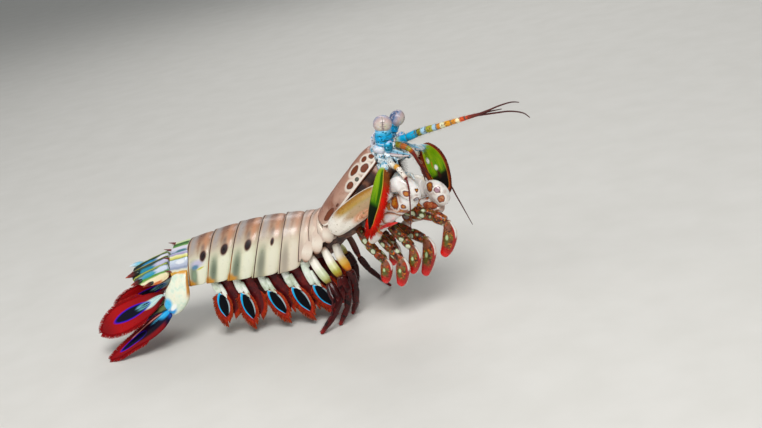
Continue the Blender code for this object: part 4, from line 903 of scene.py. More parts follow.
def build_telson(look, tooth_look, pale_look):
    outline = [(0, 11.4), (0.02, 12.2), (0.06, 13.2), (0.3, 14), (0.5, 13.6), (0.7, 12.4), (0.86, 10.4),
        (0.93, 9), (0.97, 7.6), (0.985, 6.2)]

    def half_at(t):
        for (a, p), (b, q) in zip(outline, outline[1:]):
            if t <= b:
                w = (t - a) / (b - a)
                w = w * w * (3 - 2 * w)
                return p + (q - p) * w
        return outline[-1][1]
    steps = [0, 0] + [k / 26 * 0.985 for k in range(27)] + [0.985]

    def where(u, v):
        k = round(v * (len(steps) - 1))
        t = steps[k]
        x, half = t * TELSON_LENGTH, half_at(t)
        if k in (0, len(steps) - 1):
            return telson_point(x, 0, 0.4), (x, 0, 0)
        thick = 2.6 - 1.2 * t
        c = math.cos(2 * math.pi * u)
        y = half * power(c, 0.85)
        drop = sag(y)
        edge = max(0, 1 - (abs(y) / half) ** 5)
        if math.sin(2 * math.pi * u) >= 0:
            keels = 1.35 * swell(y, 0, 0.8) * min(1, x / 4 + 0.35) * (1 - t ** 6)
            keels += sum(0.95 * swell(abs(y), k, 0.55) for k in TELSON_KEELS[1:]) * (1 - 0.5 * t ** 4)
            notch = sum(deep * swell(abs(y), at, width) for deep, at, width in TELSON_NOTCHES)
            z = 1.3 + 1.6 * (1 - t) ** 0.6 - drop + (keels - notch * 0.6) * edge ** 0.5 - (1 - edge) * 0.8
        else:
            z = 1.3 - drop - thick * (0.25 + 0.75 * edge)
        return telson_point(x, y, z), (x, y, z)
    teeth, pale = [], []
    for x, y, length, turn, size in ((10.5, 13, 3.6, 0.10, 1.2), (16.4, 10.4, 4.2, 0.05, 1.4),
            (18, 5, 5.6, 0.05, 1.8)):
        for side in (-1, 1):
            z = 1 - sag(y)
            # the far middle tooth is the pale one, and stands higher
            row, rise = (pale, 1) if (y, side) == (5, 1) else (teeth, 0)
            bend = telson_point(x + length * 0.55, side * (y + length * 0.5 * turn), z + 0.1 + rise * 1.8)
            tip = telson_point(x + length, side * (y + length * turn), z + rise * 2)
            tooth = [(telson_point(x - 2, side * (y - 0.3), z), size * 0.9, size * 0.8),
                (telson_point(x, side * y, z + 0.15 + rise), size, size * 0.8),
                (bend, size * 0.72, size * 0.5), (tip, 0.15, 0.12)]
            row.append(limb(tooth, (0, 1, 0), around=14, sub=4, tips=(0.4, 0.1)))
    # small teeth between the two middle ones
    for y in (0.9, 1.8, 2.7):
        for side in (-1, 1):
            root, tip = telson_point(19.2, side * y, 0.7), telson_point(21, side * y, 0.6)
            teeth.append(thorn(root, tip, 0.4, (0, 1, 0)))
    piece("telson_shield", [skin(120, len(steps) - 1, where)], look, ["telson"])
    piece("telson_teeth", teeth, tooth_look, ())
    piece("telson_pale_tooth", pale, pale_look, ())


# ---- tail fan -----------------------------------------------------------------------------
# Right side; the left mirrors it. Points (x, y, z), half width, half thickness.
PROTOPOD = [((-63.4, -11.8, 37.6), 4, 1.2), ((-64.3, -13.7, 33.4), 4.8, 1.9), ((-66.2, -15.2, 27.8), 6.7, 2.4),
    ((-68.8, -15.8, 23.8), 5.8, 2.1), ((-71.6, -16.2, 20.8), 4, 1.5)]
ENDOPOD = [((-73.6, -14.8, 28), 1.8, 0.8), ((-75.8, -14.3, 26.9), 3, 1), ((-80.2, -13.4, 24.6), 5.9, 1),
    ((-89.3, -13, 21.3), 8.5, 0.9), ((-98.3, -13.1, 18.2), 8.5, 0.7), ((-104.7, -13.6, 15.6), 6, 0.5),
    ((-107.6, -14.2, 14.1), 1.9, 0.35)]
EXOPOD = [((-71.8, -16.4, 19.4), 2.2, 1), ((-77, -16.4, 15.9), 4.4, 1.1), ((-84, -16.4, 11.9), 5.2, 1),
    ((-92, -16.7, 7.8), 5, 0.9), ((-100, -17.1, 3.7), 4.2, 0.6), ((-106.2, -17.5, 0.9), 1.8, 0.4)]


def flank(stations, side):
    """The right side's stations, or their mirror for the left (side 1)."""
    return [(Vector((p[0], p[1] * -side, p[2])), *rest) for p, *rest in stations]


def drawn_in(stations, by, start):
    """Stations of a blade whose sides are drawn in by `by` mm from share start, for its fringe."""
    n = len(stations) - 1
    return [(p, max(a - by * min(1, max(0, (i / n - start) * 6 + 0.3)), 0.4), b)
        for i, (p, a, b) in enumerate(stations)]


def build_uropods(looks):
    for tag, side in (("R", -1), ("L", 1)):
        wide = (-0.80, -0.10 * side, -0.30)
        base = flank(PROTOPOD, side)
        ribs = lambda t, c, s: 0.5 * swell(c, 0.35, 0.16) * s + 0.45 * swell(c, -0.45, 0.14) * s
        shapes = [limb(base, wide, around=28, sub=6, square=0.85, tips=(0.2, 0.9), shape=ribs)]
        for at, tip, size in (((-72.6, -14.9, 22.6), (-82.8, -14.3, 18.6), 1.5),
                ((-71.9, -13.9, 25.2), (-80, -12.8, 22.6), 1.1)):
            at, tip = (Vector((p[0], p[1] * -side, p[2])) for p in (at, tip))
            spike = [(at, size, size * 0.7), (at.lerp(tip, 0.5), size * 0.8, size * 0.5), (tip, 0.15, 0.12)]
            shapes.append(limb(spike, (0, 0.3, 1), around=12, sub=5, tips=(0.5, 0.1), base=1.2))
        piece(f"uropod_protopod_{tag}_shell", shapes, looks["protopod"], [f"uropod_protopod_{tag}"])
        for kind, stations, wide, camber, reach, start in (
                ("endopod", ENDOPOD, (-0.25, -0.62 * side, 0.75), -0.10 * side, 2, 0.30),
                ("exopod", EXOPOD, (-0.30, -0.66 * side, 0.60), -0.08 * side, 1.8, 0.40)):
            line = drawn_in(flank(stations, side), reach * 0.95, start)
            midrib = lambda t, c, s: 0.35 * swell(c, 0, 0.1) * (1 - t) + 0.12 * swell(abs(c), 0.5, 0.1)
            shapes = [limb(line, wide, around=36, sub=6, square=0.75, camber=camber, tips=(0.3, 0.5),
                shape=midrib)]
            rows = sections(line, wide, 10)
            if kind == "exopod":
                # the row of stout movable spines at the end of the first joint's outer edge
                for k in range(8):
                    p, a, b, run, across, lift, share = rows[int((0.26 + 0.045 * k) * (len(rows) - 1))]
                    root = p + across * a * 0.93
                    shapes.append(thorn(root, root + across * 1.1 + run * 2.4, 0.45, lift, base=0.9))
            piece(f"uropod_{kind}_{tag}_blade", shapes, looks[kind], [f"uropod_{kind}_{tag}"])
            rows = [(p - lift * camber * a, a, b, run, across, lift, share)
                for p, a, b, run, across, lift, share in rows]
            fringe = rims(rows, reach * 1.25, 0.32, start, 1, sides=(-1, 1, -1, 1), inset=0.5, wide=0.26)
            fringe_piece(f"uropod_{kind}_{tag}_fringe", fringe, looks["fan_fringe"])


# ---- swimming legs ------------------------------------------------------------------------
# seat x, then top and lower end of the stem and tip of the outer flap, each as (x, z)
PLEOPODS = [(-9.9, (-5.6, 31.6), (-2.4, 19.6), (4.3, 8.5)), (-20.2, (-15.6, 31.4), (-12.6, 20.2), (-6.4, 7.4)),
    (-31.6, (-27, 31.2), (-24.3, 20.4), (-18.2, 8)), (-43.2, (-38.8, 31.2), (-37, 21.4), (-34.2, 7.9)),
    (-53.4, (-49.6, 31.4), (-47.6, 23.2), (-46.8, 11))]


def build_pleopods(looks):
    for i, (seat_x, top, low, end) in enumerate(PLEOPODS):
        for tag, side in (("R", -1), ("L", 1)):
            name = f"pleopod_{i + 1}_{tag}"
            out = Vector((0, side, 0))
            hip, knee = Vector((top[0], side * 10.4, top[1])), Vector((low[0], side * 11.6, low[1]))
            tip = Vector((end[0], side * 12.6, end[1]))
            leg, flap = knee - hip, tip - knee
            ahead = Vector((flap.z, 0, -flap.x)).normalized() * (1 if flap.z < 0 else -1)
            ahead = -ahead if ahead.x < 0 else ahead
            # a triangular plate on the ring's lower edge, then the pale stem over both flaps
            stem = [
                limb([(Vector((seat_x + 1.4, side * 8.8, 33.2)), 2.6, 1.3),
                (hip + Vector((1.4, 0, 0.2)), 2.1, 1.2), (hip + Vector((2.6, 0, -2.6)), 0.8, 0.7)], (1, 0, 0),
                around=20, sub=6, square=0.8),
                limb([(hip + leg * 0.04, 1.2, 1), (hip + leg * 0.3, 1.75, 1.4), (hip + leg * 0.65, 1.8, 1.5),
                (hip + leg * 0.92, 1.4, 1)], (1, 0.1 * side, 0), around=24, sub=6, square=0.85, base=1,
                shape=lambda t, c, s: 0.3 * swell(c, 0.2, 0.2) * s),
                limb([(hip + leg * 0.5 + ahead * 1.9, 1, 0.9), (knee + ahead * 2.4, 1.1, 0.8),
                (knee + flap * 0.28 + ahead * 2.6, 0.9, 0.6), (knee + flap * 0.42 + ahead * 2.4, 0.3, 0.3)],
                (1, 0, 0), around=16, sub=6, square=0.9, base=2)]
            piece(f"{name}_stem", stem, looks["stem"], [name])
            wide = ahead + Vector((0, 0.15 * side, 0))
            outer = [(knee - flap * 0.02, 0.7, 0.5), (knee + flap * 0.12 + ahead * 0.2, 2.1, 0.7),
                (knee + flap * 0.40 + ahead * 0.5, 3, 0.8), (knee + flap * 0.70 + ahead * 0.3, 2.6, 0.6),
                (knee + flap * 0.92, 1.3, 0.45), (tip, 0.4, 0.3)]
            lean = ahead * 4.2 - out * 2.2
            inner = [(hip + leg * 0.10 + lean * 0.7, 2.6, 0.6), (hip + leg * 0.7 + lean * 0.9, 3.9, 0.7),
                (knee + flap * 0.35 + lean, 4, 0.7), (knee + flap * 0.72 + lean * 0.9, 2.9, 0.5),
                (knee + flap * 0.92 + lean * 0.8, 0.7, 0.3)]
            for kind, line, look, around, sub in (("outer", outer, "flap", 32, 7),
                    ("inner", inner, "inner_flap", 30, 6)):
                shape = limb(line, wide, around=around, sub=sub, square=0.8, tips=(0.3, 0.3),
                    shape=lambda t, c, s: 0.25 * swell(c, 0.1, 0.16) * (1 - t))
                piece(f"{name}_{kind}_flap", [shape], looks[look], ())
            fringe = []
            for n, (stations, hind, fore) in enumerate(((outer, 3.3, 2), (inner, 1.6, 2.2))):
                rows = sections(stations, wide, 12)
                # the way across runs forward, so the hind edge is side -1
                sign = 1 if rows[0][4].x > 0 else -1
                for sgn, reach in ((-sign, hind), (sign, fore)):
                    for layer in range(3):
                        fringe.append(bristles(rows, sgn, reach, 0.22, 0.5 * n + 0.02, 1, inset=0.4, wide=0.27,
                            lean=0.75, vary=random.Random(i * 8 + n * 2 + layer), rise=0.14 * (layer - 1),
                            longer=0.6, sweep=4))
            fringe_piece(f"{name}_fringe", fringe, looks["swim_fringe"])


# ---- walking legs -------------------------------------------------------------------------
WALKING = {"6_R": [((11.2, -8.8, 38.4), 2), ((12.8, -11.6, 32), 2.5), ((16.2, -13.4, 24.6), 2),
    ((16.8, -13, 16), 1.5), ((15.2, -10.6, 7.4), 1.15), ((12, -7.4, 0.7), 0.7)],
    "7_R": [((5.6, -9.8, 36.6), 2), ((8.6, -13.6, 29.4), 2.5), ((12, -16.8, 23.6), 2),
    ((14.2, -18.2, 16.6), 1.5), ((12.2, -18.4, 8.6), 1.15), ((7, -18.4, 0.7), 0.7)],
    "8_R": [((-1.6, -9.6, 34.4), 2), ((1.8, -13.4, 28.2), 2.5), ((6.4, -17.2, 21.4), 2),
    ((9.6, -20.6, 14.2), 1.5), ((5.6, -23, 7.2), 1.15), ((-1.2, -25, 0.7), 0.7)],
    "6_L": [((15, 2.6, 38.8), 2), ((16.6, 6.6, 32), 2.5), ((18.2, 9.6, 22), 2), ((20.8, 13.4, 14), 1.5),
    ((24.6, 17.2, 7.2), 1.15), ((28.6, 20.4, 0.7), 0.7)],
    "7_L": [((6.2, 6.6, 36.4), 2), ((8.2, 11.4, 29.8), 2.5), ((11, 16.2, 23), 2), ((13.2, 19.4, 15.4), 1.5),
    ((12.6, 21.4, 7.6), 1.15), ((10, 23.4, 0.7), 0.7)],
    "8_L": [((-1.4, 8.6, 34.4), 2), ((0, 13, 28.4), 2.5), ((1.8, 17.6, 21.8), 2), ((2.6, 20.8, 14.2), 1.5),
    ((-0.6, 22.6, 7), 1.15), ((-5.6, 24, 0.7), 0.7)]}


def build_walking_legs(looks):
    for key, joints in WALKING.items():
        name = f"walking_leg_{key}"
        upper, lower = joints[:3], joints[2:]
        slim = 0.72 if key == "6_L" else 1
        lower = [(p, r * k * slim) for (p, r), k in zip(lower, (1.1, 1.35, 1.35, 1.2))]
        a, b, c = (Vector(p) for p, _ in upper)
        spindle = [(a, 1.5, 1.3), (a.lerp(b, 0.5), 2, 1.7), (b, 2.1, 1.8), (b.lerp(c, 0.55), 2.1, 1.7),
            (b.lerp(c, 0.88), 1.5, 1.2), (c, 1, 0.9)]
        spindle = [(p, w * slim, h * slim) for p, w, h in spindle]
        shapes = [limb(spindle, (1, 0.2, 0.2), around=22, sub=5),
            limb(jointed(lower, 0.7, 0.85), (1, 0.2, 0.2), around=18, sub=3, tips=(0.3, 0.3), base=1)]
        # the slender outer branch, from the end of the base to beside the shin
        a, b, c = (Vector(joints[k][0]) for k in (2, 3, 4))
        side = 1 if key.endswith("L") else -1
        off = Vector((-1.6, 1.2 * side, 0))
        if slim == 1:
            branch = [(a + off * 0.5, 1.1, 0.7), (a.lerp(b, 0.5) + off * 1.2, 1.3, 0.7),
                (b + off * 1.4, 1.1, 0.6), (b.lerp(c, 0.55) + off * 1.3, 0.5, 0.35)]
            shapes.append(limb(branch, (1, 0, 0), around=12, sub=5, base=1))
        # the far leg of pair 6 wears a darker copy of its pair's finish: painted shade
        piece(f"{name}_shell", shapes, looks["leg_far_shaded"] if key == "6_L" else looks["leg_" + key[0]], [name])
        rows = sections(jointed(lower, 0.7, 0.85), (1, 0.2, 0.2), 4)
        fringe = rims(rows, 1.2, 0.55, 0.62, 0.97, inset=0.2, thick=0.05, wide=0.07, lean=1.4)
        fringe_piece(f"{name}_bristles", fringe, looks["leg_fringe"])


# ---- carapace, core, head -----------------------------------------------------------------
NECK_S, NECK_LEAN = 45.3, 0.34
CARAPACE_ROWS = [(-1.9, 12, 9.7), (0.6, 12.5, 10.3), (8, 12.4, 10.5), (20, 11.9, 10.5), (31.5, 10.9, 10.4),
    (40.5, 9.9, 10), (NECK_S, 8.9, 9)]


def row_at(rows, s):
    """Values of a table at s, in straight steps."""
    for a, b in zip(rows, rows[1:]):
        if s <= b[0]:
            w = max(0, (s - a[0]) / (b[0] - a[0]))
            return [p + (q - p) * w for p, q in zip(a, b)]
    return list(rows[-1])


def build_carapace(look):
    outside = 0.78
    steps = [-2.1, -2.1, -2, -1.6, -0.8] + [k * 1.8 for k in range(25)] + [44.2, 45] + [NECK_S] * 3

    def where(u, v):
        k = round(v * (len(steps) - 1))
        s = steps[k]
        _, half, high = row_at(CARAPACE_ROWS, s)
        end = min(k, len(steps) - 1 - k)
        lean = NECK_LEAN * max(0, (s + 2) / (NECK_S + 2)) ** 3
        if end == 0:
            return trunk(s - lean * 5, 0, 5), (s, 0, 0)
        shrink = (0.9, 0.97, 1)[min(end - 1, 2)]
        lift = 2.6 * max(0, 1 - (s + 2) / 4.5) ** 2 + 0.8 * max(0, 1 - (NECK_S - s) / 3.5) ** 2
        if u <= outside:
            ang = math.pi * (1 - u / outside)
            c, d = math.cos(ang), math.sin(ang)
            q = 1 - 2 * ang / math.pi
            y = half * shrink * power(c, 0.75)
            h = lift + 0.15 + (high * shrink - lift) * abs(d) ** 0.85
            groove = 0.4 * swell(abs(q), 0.36, 0.035) * min(1, max(0, (s - 2) / 8))
            groove += 0.35 * swell(s, 30 - 10 * abs(q), 0.9) * (abs(q) < 0.75)
            h -= groove * abs(d)
            return trunk(s - lean * h, y, h), (s, CARAPACE_ARC * q, 1)
        w = (u - outside) / (1 - outside)
        y = half * shrink * math.cos(math.pi * w)
        tuck = math.sin(math.pi * w)
        q = power(math.cos(math.pi * w), 0.05)
        return trunk(s, y * (1 - 0.04 * tuck), lift + 0.15 - 0.25 * tuck ** 0.5), (s, CARAPACE_ARC * q, -1)
    piece("carapace_shell", [skin(120, len(steps) - 1, where)], look, ["carapace"])


def build_core(look):
    table = [(-2.2, 11.2, 8.4), (2, 11.4, 10.6), (14, 11.2, 11), (28, 10.2, 9.8), (36, 9.4, 8.4), (41, 8.6, 6),
        (NECK_S, 7.6, 3.6)]
    outside = 0.8
    steps = [-2.2, -2.2] + [k * 1.5 - 1.5 for k in range(32)] + [NECK_S] * 2

    def where(u, v):
        k = round(v * (len(steps) - 1))
        s = steps[k]
        _, half, deep = row_at(table, s)
        if k in (0, len(steps) - 1):
            return trunk(s, 0, -3.5), (s, 0, 0)
        lean = NECK_LEAN * max(0, (s - 40) / (NECK_S - 40))
        if u <= outside:
            ang = math.pi * u / outside
            c, d = math.cos(ang), math.sin(ang)
            crease = 0.25 * math.sin(s * 1.1 + 2 * c) * d
            h = -0.15 - (deep - crease) * abs(d) ** 0.8
            y = (half - 0.3 * abs(math.sin(s * 0.42)) ** 2) * power(c, 0.6)
            return trunk(s - 0.10 * deep * d * (s < 0) - lean * h, y, h), (s, y, h)
        w = (u - outside) / (1 - outside)
        return trunk(s, half * -math.cos(math.pi * w), -0.1), (s, 0, 0)
    # the underside between the walking legs' roots, dark brown: partly the skin's own colour, partly painted
    # shade
    under = limb([((-7, 0, 32.8), 7, 2.4), ((-1, -0.3, 33.8), 8.8, 4.2), ((6, -1, 35.8), 9.2, 5.2),
        ((11, -1.8, 38.8), 9, 4.6), ((16, -3.6, 42), 8.4, 3.8), ((21, -6, 45), 6.5, 2.8)], (0, 1, 0), around=40,
        sub=8, square=0.95, tips=(0.6, 0.6), shape=lambda t, c, s: 0.35 * math.sin(t * 60) * (s < 0))
    piece("thorax_skin", [skin(80, len(steps) - 1, where), under], look, ["thorax_core"])


def build_head(looks):
    table = [(NECK_S, 7.9, 8, 6.8, NECK_LEAN), (46, 8.2, 8, 7, NECK_LEAN), (47.6, 7.6, 7.2, 6.8, 0.24),
        (50, 5.8, 5.6, 6, 0.12), (51.4, 4.2, 4.2, 4.8, 0.05), (52.2, 2.4, 2.6, 3, 0)]
    steps = [45, 45, 45.3, 45.8, 46.4, 47, 47.6, 48.3, 49, 49.7, 50.3, 50.9, 51.4, 51.8, 52.1, 52.2]

    def where(u, v):
        k = round(v * (len(steps) - 1))
        s = steps[k]
        _, half, high, low, lean = row_at(table, s)
        if k in (0, len(steps) - 1):
            return trunk(s, 0, 0), (s, 0, 0)
        ang = 2 * math.pi * u
        c, d = math.cos(ang), math.sin(ang)
        h = (high if d > 0 else low) * power(d, 0.85)
        h += 0.5 * swell(abs(c), 0.42, 0.12) * d - 0.45 * swell(s, 48.4, 0.35) * d
        half -= 0.35 * swell(s, 47.2, 0.3) + 0.35 * swell(s, 49.6, 0.3)
        return trunk(s - lean * h, half * power(c, 0.85), h), (s, c, d)

    def lump(*stations):
        return limb(at_front(stations), LEFT, around=22, sub=5, tips=(0.4, 0.7))
    shapes = [skin(64, len(steps) - 1, where)]
    for side in (-1, 1):
        # basal joints of the antenna, knobbed, and the cheek behind them
        shapes += [lump(((35.4, side * 5.6, 79.4), 2.2, 2), ((37.4, side * 7.2, 79.4), 2.7, 2.4),
            ((39.4, side * 8, 78.8), 2.2, 2)),
            lump(((38.4, side * 7.6, 77.2), 1.6, 1.5), ((40.2, side * 8.8, 77), 2.3, 2.1),
            ((41.8, side * 8.9, 77.4), 1.7, 1.6)),
            lump(((36.2, side * 8.4, 76.4), 1, 0.9), ((38.2, side * 9.4, 75.8), 1.7, 1.4),
            ((40, side * 10.6, 75.6), 1.3, 1.1)),
            lump(((41.6, side * 4, 79.2), 1.5, 1.4), ((43.4, side * 4.6, 77.6), 1.8, 1.5),
            ((44.4, side * 4.4, 75.6), 1, 0.9)),
            lump(((40, side * 3.2, 82.6), 1.8, 1.6), ((42, side * 3.4, 83.6), 1.9, 1.7),
            ((43.6, side * 3.2, 84), 1.4, 1.3))]
    piece("head_shell", shapes, looks["head"], ["head"])
    # eye ring: a pale rounded lobe under each stalk, teal ahead of it
    lobes = []
    for side in (-1, 1):
        lobes.append(lump(((34.9, side * 5.2, 83.4), 1.9, 1.8), ((37.3, side * 6.6, 83.4), 2.7, 2.4),
            ((39.6, side * 6.6, 83), 2.1, 1.9)))
    lobes.append(lump(((37.2, 0, 80.5), 3, 2.2), ((37.4, 0, 83.4), 3, 2.2), ((37.6, 0, 85.2), 2.8, 1.7),
        ((37.4, 0, 86.4), 1.9, 1.3)))
    piece("eye_ring_shell", lobes, looks["lobe"], ())
    knobs = [lump(((41, side * 5.4, 82), 1.6, 1.5), ((41.8, side * 5.8, 83.8), 2.1, 1.9),
        ((42, side * 5.4, 86.2), 1.6, 1.5)) for side in (-1, 1)]
    piece("eye_ring_knobs", knobs, looks["knob"], ())
    # antennular processes: pointed pearly plates beside the antennules
    spikes = []
    for side in (-1, 1):
        spike = at_front([((39.4, side * 4.6, 81.4), 1.5, 0.9), ((43, side * 5, 80.8), 1.7, 0.7),
            ((47.6, side * 4.6, 79.9), 1.1, 0.5), ((51.8, side * 4.2, 79.2), 0.15, 0.12)])
        spikes.append(limb(spike, LEFT * 0.3 + UP, around=20, sub=7, tips=(0.4, 0.1),
            shape=lambda t, c, s: 0.22 * swell(c, 0.3, 0.15) * s))
        spikes.append(thorn(front(43.8, side * 3.2, 85.6), front(45, side * 3.6, 88), 0.6, LEFT))
    piece("antennular_processes", spikes, looks["process"], ())
    plate_at = [((32, 0, 82.8), 3.2, 0.5), ((32.1, 0, 84.8), 4, 0.6), ((32.6, 0, 86.8), 3.8, 0.55),
        ((33, 0, 88.4), 2.6, 0.5), ((33.5, 0, 90.2), 0.5, 0.3)]
    shape = limb(at_front(plate_at), LEFT, around=36, sub=6, square=0.8, camber=-0.22, tips=(0.2, 0.3),
        shape=lambda t, c, s: 0.35 * swell(c, 0, 0.12) * (s > 0))
    piece("rostral_plate_shell", [shape], looks["rostrum"], ["rostral_plate"])


def build_mouth(look):
    def part(stations, around, tips=(0.4, 0.4)):
        return limb([(trunk(*p), *rest) for p, *rest in stations], LEFT, around=around, sub=5, tips=tips)
    shapes = [part([((38.4, 0, -8.2), 3.4, 2.6), ((39.6, 0, -11.4), 3.6, 2.8), ((40.2, 0, -13.6), 2.4, 2)],
        24, (0.3, 0.8))]
    for side in (-1, 1):
        # mandible with its palp, and the flap of the first maxilla
        shapes += [part([((36.6, side * 3.6, -8.6), 2, 1.7), ((38, side * 4.2, -12), 2.2, 1.8),
            ((39.8, side * 2.6, -15), 1.5, 1.2), ((40.3, side, -16.6), 0.7, 0.6)], 20, (0.4, 0.3)),
            part([((41.4, side * 2.6, -10.4), 0.9, 0.7), ((43.2, side * 3.2, -12.6), 0.9, 0.6),
            ((43, side * 2.4, -15.4), 0.5, 0.4)], 12),
            part([((34.2, side * 3.4, -9), 1.6, 0.8), ((35, side * 4, -12.4), 1.9, 0.6),
            ((36.4, side * 3, -15.2), 0.8, 0.4)], 16)]
    piece("mouthparts_shell", shapes, look, ["mouthparts"])


def stalk_rings(share, c, s):
    """Two swollen rings of an eyestalk with a groove above each."""
    rings = 0.3 * swell(share, 0.48, 0.07) + 0.3 * swell(share, 0.16, 0.07)
    return rings - 0.45 * swell(share, 0.31, 0.045) - 0.25 * swell(share, 0.68, 0.035)


def build_eyes(looks):
    for tag, side in (("R", -1), ("L", 1)):
        # the far stalk is slimmer and leans ahead from behind the near one
        eye = front(40.9, side * 5.5, 94.3 if side < 0 else 93.2)
        base = front(38.9, -4.4, 84.6) if side < 0 else front(36, 3.6, 86)
        axis = (eye - base).normalized()
        tall = (eye - base).length
        # the near eye looks at the onlooker, the far one ahead and outward
        seen = EYE_LINE if side < 0 else (FWD + LEFT * 0.25 + UP * 0.12).normalized()
        if side < 0:
            cap, under, slim, ball_size = tall - 1.2, 1.2, 1, (4.15, 3.7, 3.8)
        else:
            cap, under, slim, ball_size = tall + 0.2, 3.1, 0.82, (3.7, 3.4, 3.9)
        sizes = ((0.1, 3.3, 2.8), (1.4, 4.2, 3.7), (3.2, 4.3, 3.8), (tall - 4.4, 3.9, 3.6),
            (tall - 2.6, 3.7, 3.4))
        stalk = [(base + axis * at, a * slim, b * slim) for at, a, b in sizes]
        stalk.append((base + axis * cap - seen * under, 3.2 * slim, 3 * slim))
        shape = limb(stalk, LEFT, around=36, sub=5, tips=(0.2, 0.3), shape=stalk_rings)
        piece(f"eyestalk_{tag}_shell", [shape], looks["stalk"], [f"eyestalk_{tag}"])
        across = axis.cross(seen).normalized()
        ahead = across.cross(axis)
        ball = bmesh.new()
        layer = ball.verts.layers.float_vector.new("place")
        bmesh.ops.create_uvsphere(ball, u_segments=48, v_segments=32, radius=1)
        for v in ball.verts:
            v[layer] = v.co
            # the eye is a little wider than tall, with a shallow waist along its middle band
            waist = 1 - 0.03 * swell(v.co.x, 0, 0.12)
            v.co = eye + seen * 0.45 + (across * v.co.x * ball_size[0] + ahead * v.co.y * ball_size[1]
                + axis * v.co.z * ball_size[2]) * waist
        piece(f"eye_{tag}_cornea", [ball], looks["cornea"], [f"eye_{tag}"])


# ---- feelers ------------------------------------------------------------------------------
ANTENNULE_L = [((40.4, 2.2, 83.6), 1.9), ((46.8, 3, 85.2), 1.75), ((51.9, 3, 87), 1.65), ((57.4, 3, 88.4), 1.5),
    ((62.9, 3, 89.5), 1.35), ((70.5, 3, 91.3), 1.15), ((77.6, 3, 92.9), 0.95), ((84.7, 3, 94.4), 0.62)]
FLAGELLA_L = [[((82, 3, 93.8), 0.5), ((89.7, 2.6, 96.1), 0.42), ((94.8, 2.2, 97.8), 0.38),
    ((100.6, 2, 99.1), 0.32), ((104.2, 2, 98.9), 0.2)],
    [((82, 3.3, 93.6), 0.5), ((92.6, 4.2, 94.3), 0.42), ((97.8, 5, 94.4), 0.38), ((103.2, 5.6, 93.3), 0.32),
    ((105.8, 6, 91.1), 0.2)], [((82, 3.2, 93.8), 0.45), ((89.3, 3.4, 95.2), 0.36), ((94.8, 3.7, 95.9), 0.2)]]
ANTENNULE_R = [((42.4, -2.2, 83.9), 1.4), ((46.8, -3, 83.4), 1.45), ((50.2, -3, 81.9), 1.15),
    ((52.1, -2.6, 79.2), 0.85), ((52.9, -1, 73.6), 0.55)]
FLAGELLA_R = [[((52.8, -1.2, 74.6), 0.5), ((53.6, -0.4, 70.9), 0.42), ((54.2, 0.3, 67.2), 0.3),
    ((54.5, 0.7, 65.8), 0.12)], [((52.8, -1.3, 74.6), 0.5), ((54.8, -1, 71.8), 0.42), ((56.6, -0.8, 69.2), 0.3),
    ((57.4, -0.8, 68), 0.12)],
    [((52.8, -1.2, 74.8), 0.45), ((54.2, -1.8, 70.4), 0.36), ((55, -2.6, 66.8), 0.2)]]
ANTENNA_R = [((41.6, -6.6, 79), 1.3), ((43.4, -9.8, 78), 1.6), ((46, -11.6, 77.3), 1.35),
    ((49.4, -13, 76.8), 1.25), ((54.4, -15.8, 72.6), 0.95)]
ANTENNA_L = [((41.6, 6.6, 79), 1.5), ((44.2, 9.7, 76.8), 2), ((44.8, 11.4, 72), 1.35), ((44.6, 13.2, 68), 1.15),
    ((45, 15.8, 62.8), 0.95)]
WHIP_R = [((54.2, -15.6, 72.9), 0.5), ((55.4, -16.8, 69.6), 0.42), ((55.5, -17.5, 65.6), 0.36),
    ((54.4, -18, 57), 0.28), ((51.8, -18, 44.4), 0.12)]
WHIP_L = [((44.9, 15.6, 63.1), 0.6), ((46.4, 18.8, 59.2), 0.52), ((50.3, 23.3, 55.6), 0.45),
    ((53.4, 23.1, 49.4), 0.36), ((59.4, 22.1, 36.5), 0.16)]


def beaded(share, c, s):
    """Rings of a whip-like feeler, 0.6 mm apart."""
    return 0.05 * math.cos(share * 60 * math.pi)


def build_feelers(looks):
    for name, stem, strands in (
            ("antennule_L", ANTENNULE_L, FLAGELLA_L), ("antennule_R", ANTENNULE_R, FLAGELLA_R),
            ("antenna_R", ANTENNA_R, [WHIP_R]), ("antenna_L", ANTENNA_L, [WHIP_L])):
        line = jointed(stem, pinch=0.84, swollen=1.04)
        stalk = limb(at_front(line), UP, around=18, sub=2, tips=(0.2, 0.2))
        whips = [limb(at_front([(p, r, r) for p, r in strand]), UP, around=8, sub=24, tips=(0.1, 0.1),
            shape=beaded, base=1) for strand in strands]
        piece(f"{name}_shell", [stalk] + whips, looks[name], [name])
        # a few pale bristles at the joints
        rows = sections(at_front(line), UP, 2)
        tufts = rims(rows, 1.5, 1.3, 0.1, 0.95, inset=0.1, thick=0.04, wide=0.05, lean=0.7)
        fringe_piece(f"{name}_bristles", tufts, looks["pale_bristle"])
    for tag, at in (("R", (48.9, -11.3, 79.4)), ("L", (45, 10.9, 76))):
        # a fan of dark bristles ahead of the antenna's second joint
        fan, side = coat(), math.copysign(1, at[1])
        for k in range(16):
            root = front(at[0], at[1], at[2] - 0.187 * k)
            way = (FWD * 3.6 + UP * (0.9 - 0.26 * k) + LEFT * side * (0.5 - 0.06 * (k % 3))).normalized()
            seta(fan, root, way, way.cross(LEFT).normalized(), 5.4 - 0.5 * (k % 2), (0.15, 0.11),
                (k / 15, side), (0.05 + 0.06 * k, 0.5))
        fringe_piece(f"antenna_{tag}_hairs", [fan], looks["dark_hair"])


